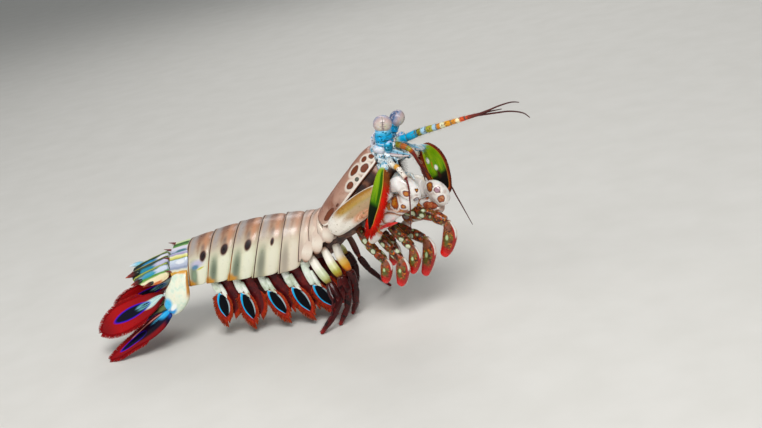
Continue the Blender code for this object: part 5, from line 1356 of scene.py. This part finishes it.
BLADE_R = [((42.4, -14.4, 77), 1.2, 0.7), ((42.5, -16.8, 75.4), 1.95, 0.8), ((41.5, -18.6, 70.9), 2.65, 0.8),
    ((39.7, -20, 65.5), 2.75, 0.8), ((38.3, -20.6, 62), 2.6, 0.8), ((36.5, -21, 58), 2.1, 0.7),
    ((35.1, -21, 54.7), 1.6, 0.55), ((33.7, -20.8, 51.4), 0.55, 0.35)]
BLADE_L = [((45.4, 12.2, 77.8), 1.4, 0.8), ((47.8, 13.2, 76.4), 3.2, 0.8), ((49.4, 14.3, 73), 4.9, 0.8),
    ((50, 15.8, 68.7), 5.7, 0.8), ((50.1, 17.4, 63.9), 5.5, 0.8), ((50.4, 18.4, 59.2), 4.4, 0.6),
    ((51, 18.8, 55.7), 2.6, 0.45), ((51.4, 18.9, 53.7), 0.9, 0.35)]
SCALE_JOINTS = {"R": [((40.2, -10, 77.4), 1.5, 1.4), ((41.6, -11.8, 77), 2, 1.6),
    ((42.2, -13.4, 75.8), 1.9, 1.4), ((42.3, -14.8, 74.2), 1.3, 1.1)],
    "L": [((41.8, 8.2, 77.8), 1.7, 1.6), ((44, 9.8, 78), 2.3, 1.8), ((46, 11.2, 77.6), 2.3, 1.5),
    ((47.4, 12.2, 76.6), 1.4, 1.1)]}

# side, reach, first share, how much longer and more bent the bristles are at the tip
SCALE_EDGES = {"R": ((-1, 0.45, 0.04, 0, 0), (-1, 1.9, 0.82, 1.9, 11), (1, 4, 0.02, 0.6, 11)),
    "L": ((-1, 3, 0.06, 0.1, 3), (1, 1.7, 0.04, 0.5, 3))}


def build_scales(looks):
    # how much of the half width the fringe takes: at the inner edge, at the outer edge
    for tag, table, across, inner, outer in (
            ("R", BLADE_R, FWD - LEFT * 0.05 - UP * 0.05, 0, 0),
            ("L", BLADE_L, FWD * 0.5 + LEFT * 0.85, 0.06, 0.20)):
        stations = at_front(table)
        rows = sections(stations, across, 1, steady=True)
        last = len(stations) - 1
        blade = []
        for k, ((p, a, b), row) in enumerate(zip(stations, rows)):
            grown = min(1, 0.25 + k / last * 1.6)
            lower, upper = a * inner * grown, a * outer * min(1, 0.7 + k / last)
            blade.append((p - row[4] * (upper - lower) * 0.5, a - (lower + upper) * 0.5, b))
        if tag == "L":
            # the plate ends before the fringe that wraps its tip
            blade = blade[:-1] + [(blade[-2][0].lerp(blade[-1][0], 0.4), 0.5, 0.3)]
        shape = limb(blade, across, around=36, sub=6, square=0.75, camber=0.08, tips=(0.3, 0.4), steady=True,
            shape=lambda t, c, s: (0.35 * swell(c, 0.1, 0.10) + 0.2 * swell(c, -0.55, 0.12)) * (s > 0))
        piece(f"antennal_scale_{tag}_blade", [shape], looks[f"scale_{tag}"], [f"antennal_scale_{tag}"])
        joint = SCALE_JOINTS[tag]
        piece(f"antennal_scale_{tag}_joint", [limb(at_front(joint), across, around=20, sub=6, tips=(0.5, 0.8))],
            looks["joint"], ())
        rows = sections(blade, across, 12, steady=True)
        rows = [(p - lift * 0.08 * a, a, b, run, way, lift, share) for p, a, b, run, way, lift, share in rows]
        fringe = []
        for sgn, reach, start, longer, sweep in SCALE_EDGES[tag]:
            for n in range(4):
                fringe.append(bristles(rows, sgn, reach * (1 - 0.06 * n), 0.24, start, 1, inset=0.35, wide=0.26,
                    thick=0.08, lean=0.55, vary=random.Random(n + 3), rise=0.14 * (n - 1.5), longer=longer,
                    sweep=sweep))
        if tag == "R":
            # the tuft that carries the fringe on round the tip
            tuft, vary = coat(), random.Random(11)
            for k in range(130):
                p, a, _, run, way, lift, share = rows[-1 - k % 16]
                c = vary.uniform(-0.9, 0.9)
                path = (run + way * vary.uniform(-0.36, 0.02) + lift * vary.uniform(-0.1, 0.1)).normalized()
                seta(tuft, p + way * a * c, path, way, vary.uniform(5, 6.3), (0.26, 0.08), (share, c),
                    in_map(share, c))
            fringe.append(tuft)
        fringe_piece(f"antennal_scale_{tag}_fringe", fringe, looks[f"fringe_{tag}"])


# ---- claws --------------------------------------------------------------------------------
CLAWS = {
    "R": {"merus": [((8.8, -14.6, 47.9), 2, 1.8), ((10.2, -15, 49), 4.2, 2.8), ((14.6, -15.3, 52.1), 5.3, 3.2),
    ((21.8, -15.3, 56.5), 5.7, 3.3), ((30.4, -15.2, 61.3), 5.6, 3.3), ((38, -14.8, 65.1), 4.9, 3.1),
    ((43.4, -14.6, 67.5), 3.6, 2.8)],
    "carpus": [((44.8, -14.4, 68.4), 2.6, 2.2), ((48.4, -13.6, 69.4), 3.8, 3.1),
    ((51.6, -12.9, 67.6), 4.3, 3.3), ((53.4, -12.3, 64.4), 4.1, 3.3), ((53.2, -11.9, 62.2), 3, 2.6)],
    "propodus": [((54, -11.6, 62.6), 3, 2.6), ((50.3, -11.5, 61.4), 4.3, 3.3), ((44.4, -11.2, 58.8), 4.6, 3.4),
    ((38.8, -11, 55.4), 4.5, 3.3), ((33.8, -11.2, 50.8), 4, 3.1), ((30.8, -11.6, 47.4), 3, 2.5)],
    "heel": [((25.6, -12.2, 41.4), 1, 0.9), ((27.2, -12.2, 42.4), 1.9, 1.8), ((29.6, -12.2, 44.2), 2.2, 2),
    ((31.8, -12.2, 45.8), 1.7, 1.6), ((33, -12.2, 46.6), 0.9, 0.9)],
    "dactyl": [((29.8, -12.6, 45.8), 1, 0.9), ((31.7, -12.9, 47.9), 1.25, 1), ((35.3, -13.2, 49.5), 1.1, 0.9),
    ((39.2, -13.3, 50.4), 0.9, 0.75), ((43.4, -13.3, 51.4), 0.28, 0.25)]},
    "L": {"merus": [((9, 14.6, 47.2), 2, 1.8), ((11, 15, 48.6), 4.2, 2.8), ((16.6, 15.2, 51.4), 5.3, 3.2),
    ((24, 15, 54.8), 5.7, 3.4), ((32, 13.6, 57.8), 5.8, 3.6), ((40, 11.4, 59.2), 5.7, 3.9),
    ((46, 10.2, 59.2), 4.6, 3.6)], "carpus": [((47.2, 10, 59), 3.4, 2.8), ((50.8, 9.5, 58), 5.1, 3.9),
    ((53.2, 9.5, 55.2), 5.1, 3.9), ((53, 9.6, 51.8), 3.4, 3)],
    "propodus": [((52.4, 9.6, 51.4), 3.6, 3), ((48, 9.8, 50), 4.9, 3.4), ((41.8, 10.2, 48.5), 4.9, 3.4),
    ((36, 10.8, 46.4), 4.4, 3.2), ((31.6, 11.2, 43.9), 3, 2.5)],
    "heel": [((26.6, 12, 37.8), 1, 0.9), ((28, 12, 38.6), 1.9, 1.8), ((30.4, 11.8, 40.4), 2.2, 2),
    ((32.6, 11.6, 41.9), 1.7, 1.6), ((33.8, 11.5, 42.6), 0.9, 0.9)],
    "dactyl": [((30.8, 11.8, 41.4), 1, 0.9), ((33.6, 11.9, 42.6), 1, 0.9), ((37, 12, 43.4), 0.85, 0.75),
    ((40.8, 11.9, 44), 0.7, 0.6), ((45, 11.6, 45.2), 0.22, 0.2)]}}


def build_claws(looks):
    deep = FWD * -0.6 + UP * 0.8
    for tag, claw in CLAWS.items():
        side = -1 if tag == "R" else 1
        hind = claw["merus"][1][0]
        inside = front(hind[0] + 1.5, side * 9.6, hind[2] + 0.5)
        arm = limb(at_front(claw["merus"]), deep, around=36, sub=6, tips=(0.7, 0.3), square=0.92,
            shape=lambda t, c, s: -0.5 * swell(c, -0.55, 0.12) * swell(t, 0.6, 0.4))
        hip = limb([(inside, 2.2, 2), (front(hind[0] + 3, hind[1], hind[2] + 1.6), 2.4, 2.2)], deep, around=16,
            sub=5)
        piece(f"raptorial_merus_{tag}_shell", [arm, hip], looks["merus"], [f"raptorial_merus_{tag}"])
        wrist = limb(at_front(claw["carpus"]), deep, around=32, sub=6, tips=(0.3, 0.5), square=0.95)
        hand = limb(at_front(claw["propodus"]), deep, around=32, sub=6, tips=(0.4, 0.4), square=0.9,
            shape=lambda t, c, s: -0.35 * swell(c, -0.9, 0.25), base=1)
        piece(f"raptorial_propodus_{tag}_shell", [hand, wrist], looks[f"claw_{tag}"],
            [f"raptorial_propodus_{tag}"])
        heel = limb(at_front(claw["heel"]), deep, around=28, sub=6, tips=(0.5, 0.5))
        finger = limb(at_front(claw["dactyl"]), deep, around=16, sub=6, tips=(0.2, 0.2), base=1)
        piece(f"raptorial_dactyl_{tag}_shell", [heel, finger], looks["dactyl"], [f"raptorial_dactyl_{tag}"])


# ---- maxillipeds --------------------------------------------------------------------------
MAXILLIPEDS = {"5_R": ([((15, -3.8, 45.4), 1.5), ((19.6, -6.6, 38.6), 1.5), ((25, -8.2, 34.8), 1.6),
    ((28.9, -8.4, 30.9), 1.4)],
    [((28.9, -8.4, 31.4), 1.6), ((29.3, -8.4, 27.9), 3.1), ((27.9, -8.4, 23.2), 2.8),
    ((26.4, -8.4, 19.8), 0.9)]),
    "4_R": ([((21.4, -3.6, 50.8), 1.5), ((27, -6, 41.6), 1.5), ((32.6, -6.8, 35.6), 1.6),
    ((37, -7.4, 31.4), 1.4)], [((37.2, -7.5, 32), 1.7), ((37.5, -7.5, 27.8), 3.5), ((35.7, -7.5, 22.1), 3),
    ((33.8, -7.5, 18.2), 0.9)]),
    "3_R": ([((27.4, -3.2, 56.2), 1.5), ((32.6, -4.2, 46.4), 1.5), ((38.6, -4, 39.6), 1.6),
    ((41.9, -3.8, 35.8), 1.4)], [((42, -3.8, 36.2), 1.7), ((42.6, -3.8, 31.5), 3.2), ((40.9, -3.8, 26.7), 2.8),
    ((39, -3.8, 22.9), 0.9)]),
    "5_L": ([((15, 3.8, 45.4), 1.5), ((18.6, 5.6, 39.2), 1.5), ((22.6, 6, 36.2), 1.6), ((25.4, 6, 33), 1.4)],
    [((25.5, 6, 33.6), 1.6), ((25.6, 6, 29.8), 3), ((23.8, 6, 25.6), 2.7), ((22, 6, 22.3), 0.9)]),
    "4_L": ([((21.4, 3.8, 50.8), 1.5), ((28.6, 4.4, 42.6), 1.5), ((37, 4.5, 39.4), 1.6),
    ((43.6, 4.5, 36.2), 1.5)], [((44.3, 4.5, 37), 1.8), ((45.4, 4.5, 31.7), 3.5), ((43.1, 4.5, 24.7), 3.1),
    ((39.6, 4.5, 17.6), 0.9)]),
    "3_L": ([((27.4, 2.2, 56), 1.5), ((34, 2, 51.6), 1.5), ((42.3, 2.6, 50.6), 1.7), ((51.2, 4.2, 47.8), 1.8),
    ((56.6, 5, 44.8), 1.6)], [((57, 5, 45), 1.8), ((57.6, 5, 39.6), 3.5), ((55.2, 5, 33.2), 3.2),
    ((51.4, 5, 27.6), 0.9)])}


def build_maxillipeds(looks):
    for key, (arm, hand) in MAXILLIPEDS.items():
        name = f"maxilliped_{key}"
        arm = [(p, r * 1.5) for p, r in arm]
        last = Vector(hand[-1][0]).lerp(Vector(hand[-2][0]), 0.22)
        hand = hand[:-1] + [(last, hand[-2][1] * 0.66)]
        stalk = limb(at_front(jointed(arm, 0.9, 0.8)), UP, around=16, sub=3, tips=(0.2, 0.3))
        palm = limb(at_front([(p, r * 0.97, r * 0.64) for p, r in hand]), FWD, around=28, sub=7,
            tips=(0.5, 1.2), square=0.92, base=1)
        # the small finger that folds back over the hand's front edge
        (a, _), (b, rb), (c, rc), (d, _) = [(front(*p), r) for p, r in hand]
        finger = limb([(d + (c - d) * 0.1, 0.7, 0.5), (c + FWD * rc * 0.72, 0.75, 0.55),
            (b.lerp(c, 0.5) + FWD * rb * 0.86, 0.5, 0.4), (b + FWD * rb * 0.80, 0.16, 0.14)], FWD, around=12,
            sub=5, base=1)
        piece(f"{name}_shell", [stalk, palm, finger], looks["hand"], [name])
        rows = sections(at_front([(p, r * 0.97, r * 0.64) for p, r in hand]), FWD, 6)
        brush = rims(rows, 0.9, 0.34, 0.15, 0.95, inset=0.12, thick=0.04, wide=0.05)
        rows = sections(at_front(jointed(arm, 0.9, 0.8)), UP, 3)
        brush.append(bristles(rows, -1, 1.5, 0.5, 0.55, 0.98, inset=0.1, thick=0.04, wide=0.05, lean=0.4))
        fringe_piece(f"{name}_bristles", brush, looks["pale_bristle"])


# ---- floor, light, camera -----------------------------------------------------------------
FRAME = (762, 428)      # picture size in pixels
FOCAL = 1200            # focal length in those pixels
FILM = 36               # width of the camera's film in mm


def build_set():
    """Plain pale floor, soft studio light, and the camera low at the animal's right."""
    bm = bmesh.new()
    bmesh.ops.create_grid(bm, x_segments=1, y_segments=1, size=6)
    me = bpy.data.meshes.new("floor")
    bm.to_mesh(me)
    bm.free()
    floor = bpy.data.objects.new("floor", me)
    bpy.context.scene.collection.objects.link(floor)
    mat = bpy.data.materials.new("matt_pale_floor")
    mat.use_nodes = True
    shader = mat.node_tree.nodes["Principled BSDF"].inputs
    shader["Roughness"].default_value = 0.9
    tree = mat.node_tree
    spot = add(tree, "TexCoord", {}, out="Object")
    grain = add(tree, "TexNoise", {"Vector": spot, "Scale": 40, "Detail": 4})
    tint = add(tree, "ValToRGB", {0: grain}, stops="0 #d6d3cc 1 #dedbd5")
    tree.links.new(tint, shader["Base Color"])
    me.materials.append(mat)

    world = bpy.data.worlds.new("studio")
    world.use_nodes = True
    sky = world.node_tree.nodes["Background"].inputs
    sky[0].default_value, sky[1].default_value = srgb("#e6ebee"), 0.30
    bpy.context.scene.world = world
    for name, at, size, watts in (("key", (0.15, -0.75, 0.95), 0.6, 11), ("fill", (-0.9, -0.5, 0.5), 0.9, 2.6),
            ("back", (0.1, 0.9, 0.8), 0.8, 3.5)):
        light = bpy.data.lights.new(name, "AREA")
        light.shape, light.size, light.energy = "DISK", size, watts
        ob = bpy.data.objects.new(name, light)
        ob.location = at
        ob.rotation_euler = (Vector((0, 0, 0.04)) - Vector(at)).to_track_quat("-Z", "Y").to_euler()
        bpy.context.scene.collection.objects.link(ob)

    # seen from 8 degrees ahead of square on, 18 degrees up, rolled 12 degrees
    turn, rise, roll = math.radians(8), math.radians(18), math.radians(12)
    back = Vector((math.sin(turn) * math.cos(rise), -math.cos(turn) * math.cos(rise), math.sin(rise)))
    level = Vector((math.cos(turn), math.sin(turn), 0))
    upright = back.cross(level)
    right = level * math.cos(roll) - upright * math.sin(roll)
    top = level * math.sin(roll) + upright * math.cos(roll)
    # the point aim is 569 mm away and shows at the pixel (288, 240)
    aim, reach, across, down = Vector((-12, 0, 40)), 569, 288, 240
    ray = right * (across - FRAME[0] / 2) / FOCAL - top * (down - FRAME[1] / 2) / FOCAL - back
    eye = bpy.data.objects.new("camera", bpy.data.cameras.new("camera"))
    place = Matrix((right, top, back)).transposed().to_4x4()
    place.translation = (aim - ray * reach + SHIFT) * MM
    eye.matrix_world = place
    eye.data.sensor_width = FILM
    eye.data.lens = FOCAL / FRAME[0] * FILM
    eye.data.clip_start = 0.01
    bpy.context.scene.collection.objects.link(eye)
    bpy.context.scene.camera = eye
    bpy.context.scene.view_settings.view_transform = "Standard"


# ---- the animal ---------------------------------------------------------------------------
A6_BANDS = ("0 #2f5a2c 0.07 #5c9a3c 0.13 #c9d4a0 0.2 #d5d3de 0.3 #b9bcd4 0.36 #5c7f8c 0.4 #c9c6dc "
    "0.47 #9a8fb8 0.5 #e0dfa0 0.57 #cfc45c 0.6 #7a8a4c 0.63 #c4d0dc 0.8 #b4bccf 0.88 #8f9ab4 "
    "0.935 #e2e0c8 0.97 #d09a2c")
A6_MARKS = [((4, 4.2, 0), (2.6, 0.7, 9), "#4a7a84"), ((4, 9.6, 0), (2.4, 0.9, 9), "#dfe2e6")]
TELSON_BANDS = ("0 #1c3c1a 0.1 #10221c 0.16 #15405a 0.24 #1c4a50 0.29 #3f7a2c 0.33 #1a2c1c 0.4 #14504e "
    "0.47 #175a7a 0.54 #1f4a3c 0.6 #4a8a2c 0.64 #2a5a3c 0.7 #8a9ac4 0.76 #3c8a3a 0.81 #6a9a3c "
    "0.85 #e9dfb4 0.95 #e6d2a4 0.98 #c8641c")
TELSON_MARKS = [((2.6, 2.1, 0), (6.5, 1.2, 9), "#dcdce6"), ((3, 6.4, 0), (6, 1.3, 9), "#c5c3dc"),
    ((3.4, 10, 0), (5.2, 0.9, 9), "#c9d2e2"), ((10.5, 2.2, 0), (4.6, 1.2, 9), "#1a86b8"),
    ((11.5, 6.6, 0), (4.8, 1.1, 9), "#1b88a8"), ((10.5, 10, 0), (4.2, 0.8, 9), "#2492b0"),
    ((17.5, 6, 0), (2.6, 2.8, 9), "#0e1a16"), ((18.4, 1.4, 0), (2, 1.4, 9), "#13201a"),
    ((17.6, 10, 0), (2, 1.6, 9), "#16261c")]
TELSON_RIDGES = [(0, 0.28, "#9cac2c"), (4.3, 0.22, "#a89a24"), (8.6, 0.24, "#a8ac38")]
# feeler: name of its finish, colours along it, joints
FEELER_BANDS = {
    "antennule_L": ("cyan_and_orange_cuticle_feeler", "0 #8fae8c 0.022 #b4ccb4 0.034 #6fc0d4 0.044 #0ca8d8 "
        "0.125 #0cb0e0 0.137 #0a8cb4 0.143 #7c7c14 0.163 #8a8a20 0.169 #9cc8e0 0.19 #a8cce0 0.196 #9a9a20 "
        "0.23 #a8a028 0.236 #a8cce0 0.252 #a4c4da 0.258 #d07c10 0.274 #cf8210 0.28 #dfe0c0 0.302 #e4e0b0 "
        "0.308 #d99608 0.364 #e08c10 0.37 #efe8c0 0.387 #f0e0b0 0.393 #e0551a 0.428 #c8401a 0.45 #7a1a10 "
        "0.5 #5a120c 1 #3a0f0c", (0.071, 0.129, 0.191, 0.253, 0.339, 0.42)),
    "antennule_R": ("olive_and_orange_cuticle_feeler", "0 #6fae9a 0.06 #7c7c14 0.12 #8a7a14 0.135 #b05a10 "
        "0.2 #a8560c 0.215 #7a7a28 0.25 #a8981c 0.265 #b85a10 0.3 #7a1c10 0.5 #5c100c 1 #3a0808",
        (0.13, 0.21, 0.3)),
    "antenna_R": ("white_cuticle_feeler", "0 #8fb8c8 0.1 #d0dcdf 0.2 #e9e6dc 0.265 #e8dcc0 0.275 #d8982c "
        "0.31 #d89a34 0.325 #efe9e0 0.46 #e6dccf 0.485 #d9b4a0 0.495 #6c0a08 1 #3c0404", (0.26, 0.38)),
    "antenna_L": ("white_and_red_cuticle_feeler", "0 #c9dcdf 0.12 #e9e6dc 0.22 #d8a040 0.26 #efe9e0 "
        "0.36 #e6dccf 0.44 #b08a70 0.52 #5c1612 1 #3a1010", (0.2, 0.34))}
# claw's patch: centre, half sizes, colour, colour of its middle
ORANGE, GOLD = "#a8501c", "#c8801e"
PATCHES_R = [((46.2, -36.4, 61.2), (1.5, 2.4, 2.8), ORANGE, GOLD),
    ((52.4, -41.5, 65.9), (1.4, 1.5, 1.2), ORANGE, GOLD),
    ((57.2, -40.9, 66.5), (0.6, 0.7, 0.4), "#a8741e", GOLD), ((49.8, -38.7, 59.4), (1, 1.2, 0.8), ORANGE, GOLD),
    ((56.1, -41, 62.3), (0.8, 0.9, 0.8), "#b4aeb0", "#8a8690"),
    ((43.2, -33.9, 53.3), (4.8, 4.4, 3.3), "#b0601e", GOLD),
    ((43.2, -33.9, 53.3), (2.9, 2.5, 1.6), "#f8f6f4", "#f4f2f0"),
    ((48, -29.6, 70), (1.6, 1.6, 1.8), ORANGE, GOLD), ((47.6, -28.4, 62.6), (2, 2, 1.4), ORANGE, GOLD)]
PATCHES_L = [((60.9, -21, 61), (1.5, 1.8, 2.2), "#a0521a", GOLD),
    ((64.3, -22.9, 59.4), (1.1, 1.2, 1.1), "#b8909c", "#8c6470"),
    ((65.3, -23.6, 55.1), (1.4, 1.4, 1.3), ORANGE, "#c88a5a"),
    # the large brown-red patch on the far claw's underside is painted shade
    ((59.8, -19.3, 51.8), (3.8, 3, 1.4), "#a8492c", "#c87a4a"),
    ((61.6, -10.6, 57), (1.8, 1.6, 1.6), ORANGE, GOLD), ((57, -6.4, 49.6), (2.2, 1.6, 1.3), ORANGE, GOLD)]


def build():
    """Every piece with its finish, tail to head."""
    build_set()
    build_plates()
    build_lobes(plain_cuticle("cream_cuticle_thorax_lobe",
        "0 #ccb09e 0.35 #d2bcab 0.7 #e2d6c6 0.9 #d8c4b2 1 #a87c66", coat=0.15, gloss=0.35, by_place=True))
    build_abdomen_6(tail_finish("striped_cuticle_abdomen_6", A6_ARC, A6_BANDS, A6_MARKS))
    telson = tail_finish("striped_cuticle_telson", 14.2, TELSON_BANDS, TELSON_MARKS, TELSON_RIDGES)
    teeth = plain_cuticle("bony_cuticle_tail_teeth",
        "0 #16382c 0.2 #2a2018 0.45 #5c1612 0.75 #8a2416 1 #c8642c", coat=0.08, gloss=0.25, by_place=True)
    build_telson(telson, teeth,
        plain_cuticle("white_cuticle_tail_tooth", "0 #1a5a78 0.3 #7cc4dc 1 #e4f0f4", by_place=True))

    build_uropods({"protopod": protopod_finish(), "endopod": blade_finish("red_cuticle_inner_fan", "endopod"),
        "exopod": blade_finish("red_cuticle_outer_fan", "exopod"),
        "fan_fringe": bristle_finish("red_setae_fan", "#7d0c12", "#9a1216", "#c22a26")})
    build_pleopods({
        "stem": plain_cuticle("mint_cuticle_swimming_leg", "0 #f0f2ea 0.5 #e2ecdc 1 #bcc8ae", size=4.5),
        "flap": blade_finish("black_and_cyan_cuticle_flap", "flap"),
        "inner_flap": plain_cuticle("maroon_cuticle_inner_flap", "0 #400a10 0.5 #541014 1 #6c1614", size=3,
            coat=0.04, gloss=0.2),
        "swim_fringe": bristle_finish("orange_red_setae_swimming_leg", "#7a1a18", "#b8341a", "#cf5426")})
    # the far leg of pair 6: the pair's colours made darker as painted shade
    build_walking_legs({"leg_far_shaded": leg_finish("6_far_shaded", "#5c1c14", "#4c1410", "#7a2a18", "#5a3024"),
        "leg_6": leg_finish("6", "#d9b45c", "#cf8a1c", "#c0661a"),
        "leg_7": leg_finish("7", "#cfcf96", "#a8a03c", "#96701c"),
        "leg_8": leg_finish("8", "#cbd2b0", "#b4bc84", "#8f8038"),
        "leg_fringe": bristle_finish("dark_red_setae_leg", "#4a0c0c", "#6a1410", "#8a2a1c")})
    build_carapace(leopard_cuticle())
    build_core(side_skin())
    build_head({"head": pearl_cuticle("mottled_pearl_cuticle_head", "#b8c8cc", "#7ca4b4", "#222c34", "#5a9cb8"),
        "lobe": pearl_cuticle("lilac_cuticle_eye_ring", "#d4d6e2", "#bccadc", "#a4b4c8", "#a8d4e8"),
        "knob": stalk_cuticle("teal_cuticle_eye_ring", "#067c9c"), "process": process_finish(),
        "rostrum": pearl_cuticle("lilac_pearl_cuticle_rostrum", "#dcd2de", "#c3bdd6", "#8a8090")})
    build_mouth(plain_cuticle("pale_cuticle_mouth", "0 #c98a3a 0.3 #e6dccb 0.6 #dfe6e4 1 #8fb0bc", size=1.8))
    build_eyes({"stalk": stalk_cuticle(), "cornea": cornea()})
    pale = bristle_finish("pale_setae", "#cbb9a2", "#d9cdb8", "#ece6da")
    feelers = {name: banded_feeler(*bands) for name, bands in FEELER_BANDS.items()}
    build_feelers({**feelers, "pale_bristle": pale,
        "dark_hair": bristle_finish("dark_setae_antenna", "#241c18", "#2c221c", "#3a2c22")})
    build_scales({"scale_R": blade_finish("green_cuticle_near_scale", "scale"),
        "scale_L": blade_finish("green_cuticle_far_scale", "far_scale"),
        "joint": pearl_cuticle("marbled_cuticle_scale_joint", "#c9dadd", "#7fb4c8", "#3a6a7a"),
        "fringe_R": bristle_finish("red_setae_near_scale", "#b83a18", "#d8160e", "#e40f0a", "#8a4a20"),
        "fringe_L": bristle_finish("maroon_setae_far_scale", "#a8501c", "#7a2014", "#54100e")})
    build_claws({"merus": merus_finish(),
        "claw_R": claw_finish("white_cuticle_near_claw", 1.22, PATCHES_R),
        "claw_L": claw_finish("white_cuticle_far_claw", 1.02, PATCHES_L),
        "dactyl": dactyl_finish()})
    build_maxillipeds({"hand": hand_finish(), "pale_bristle": pale})


build()
bpy.context.view_layer.update()
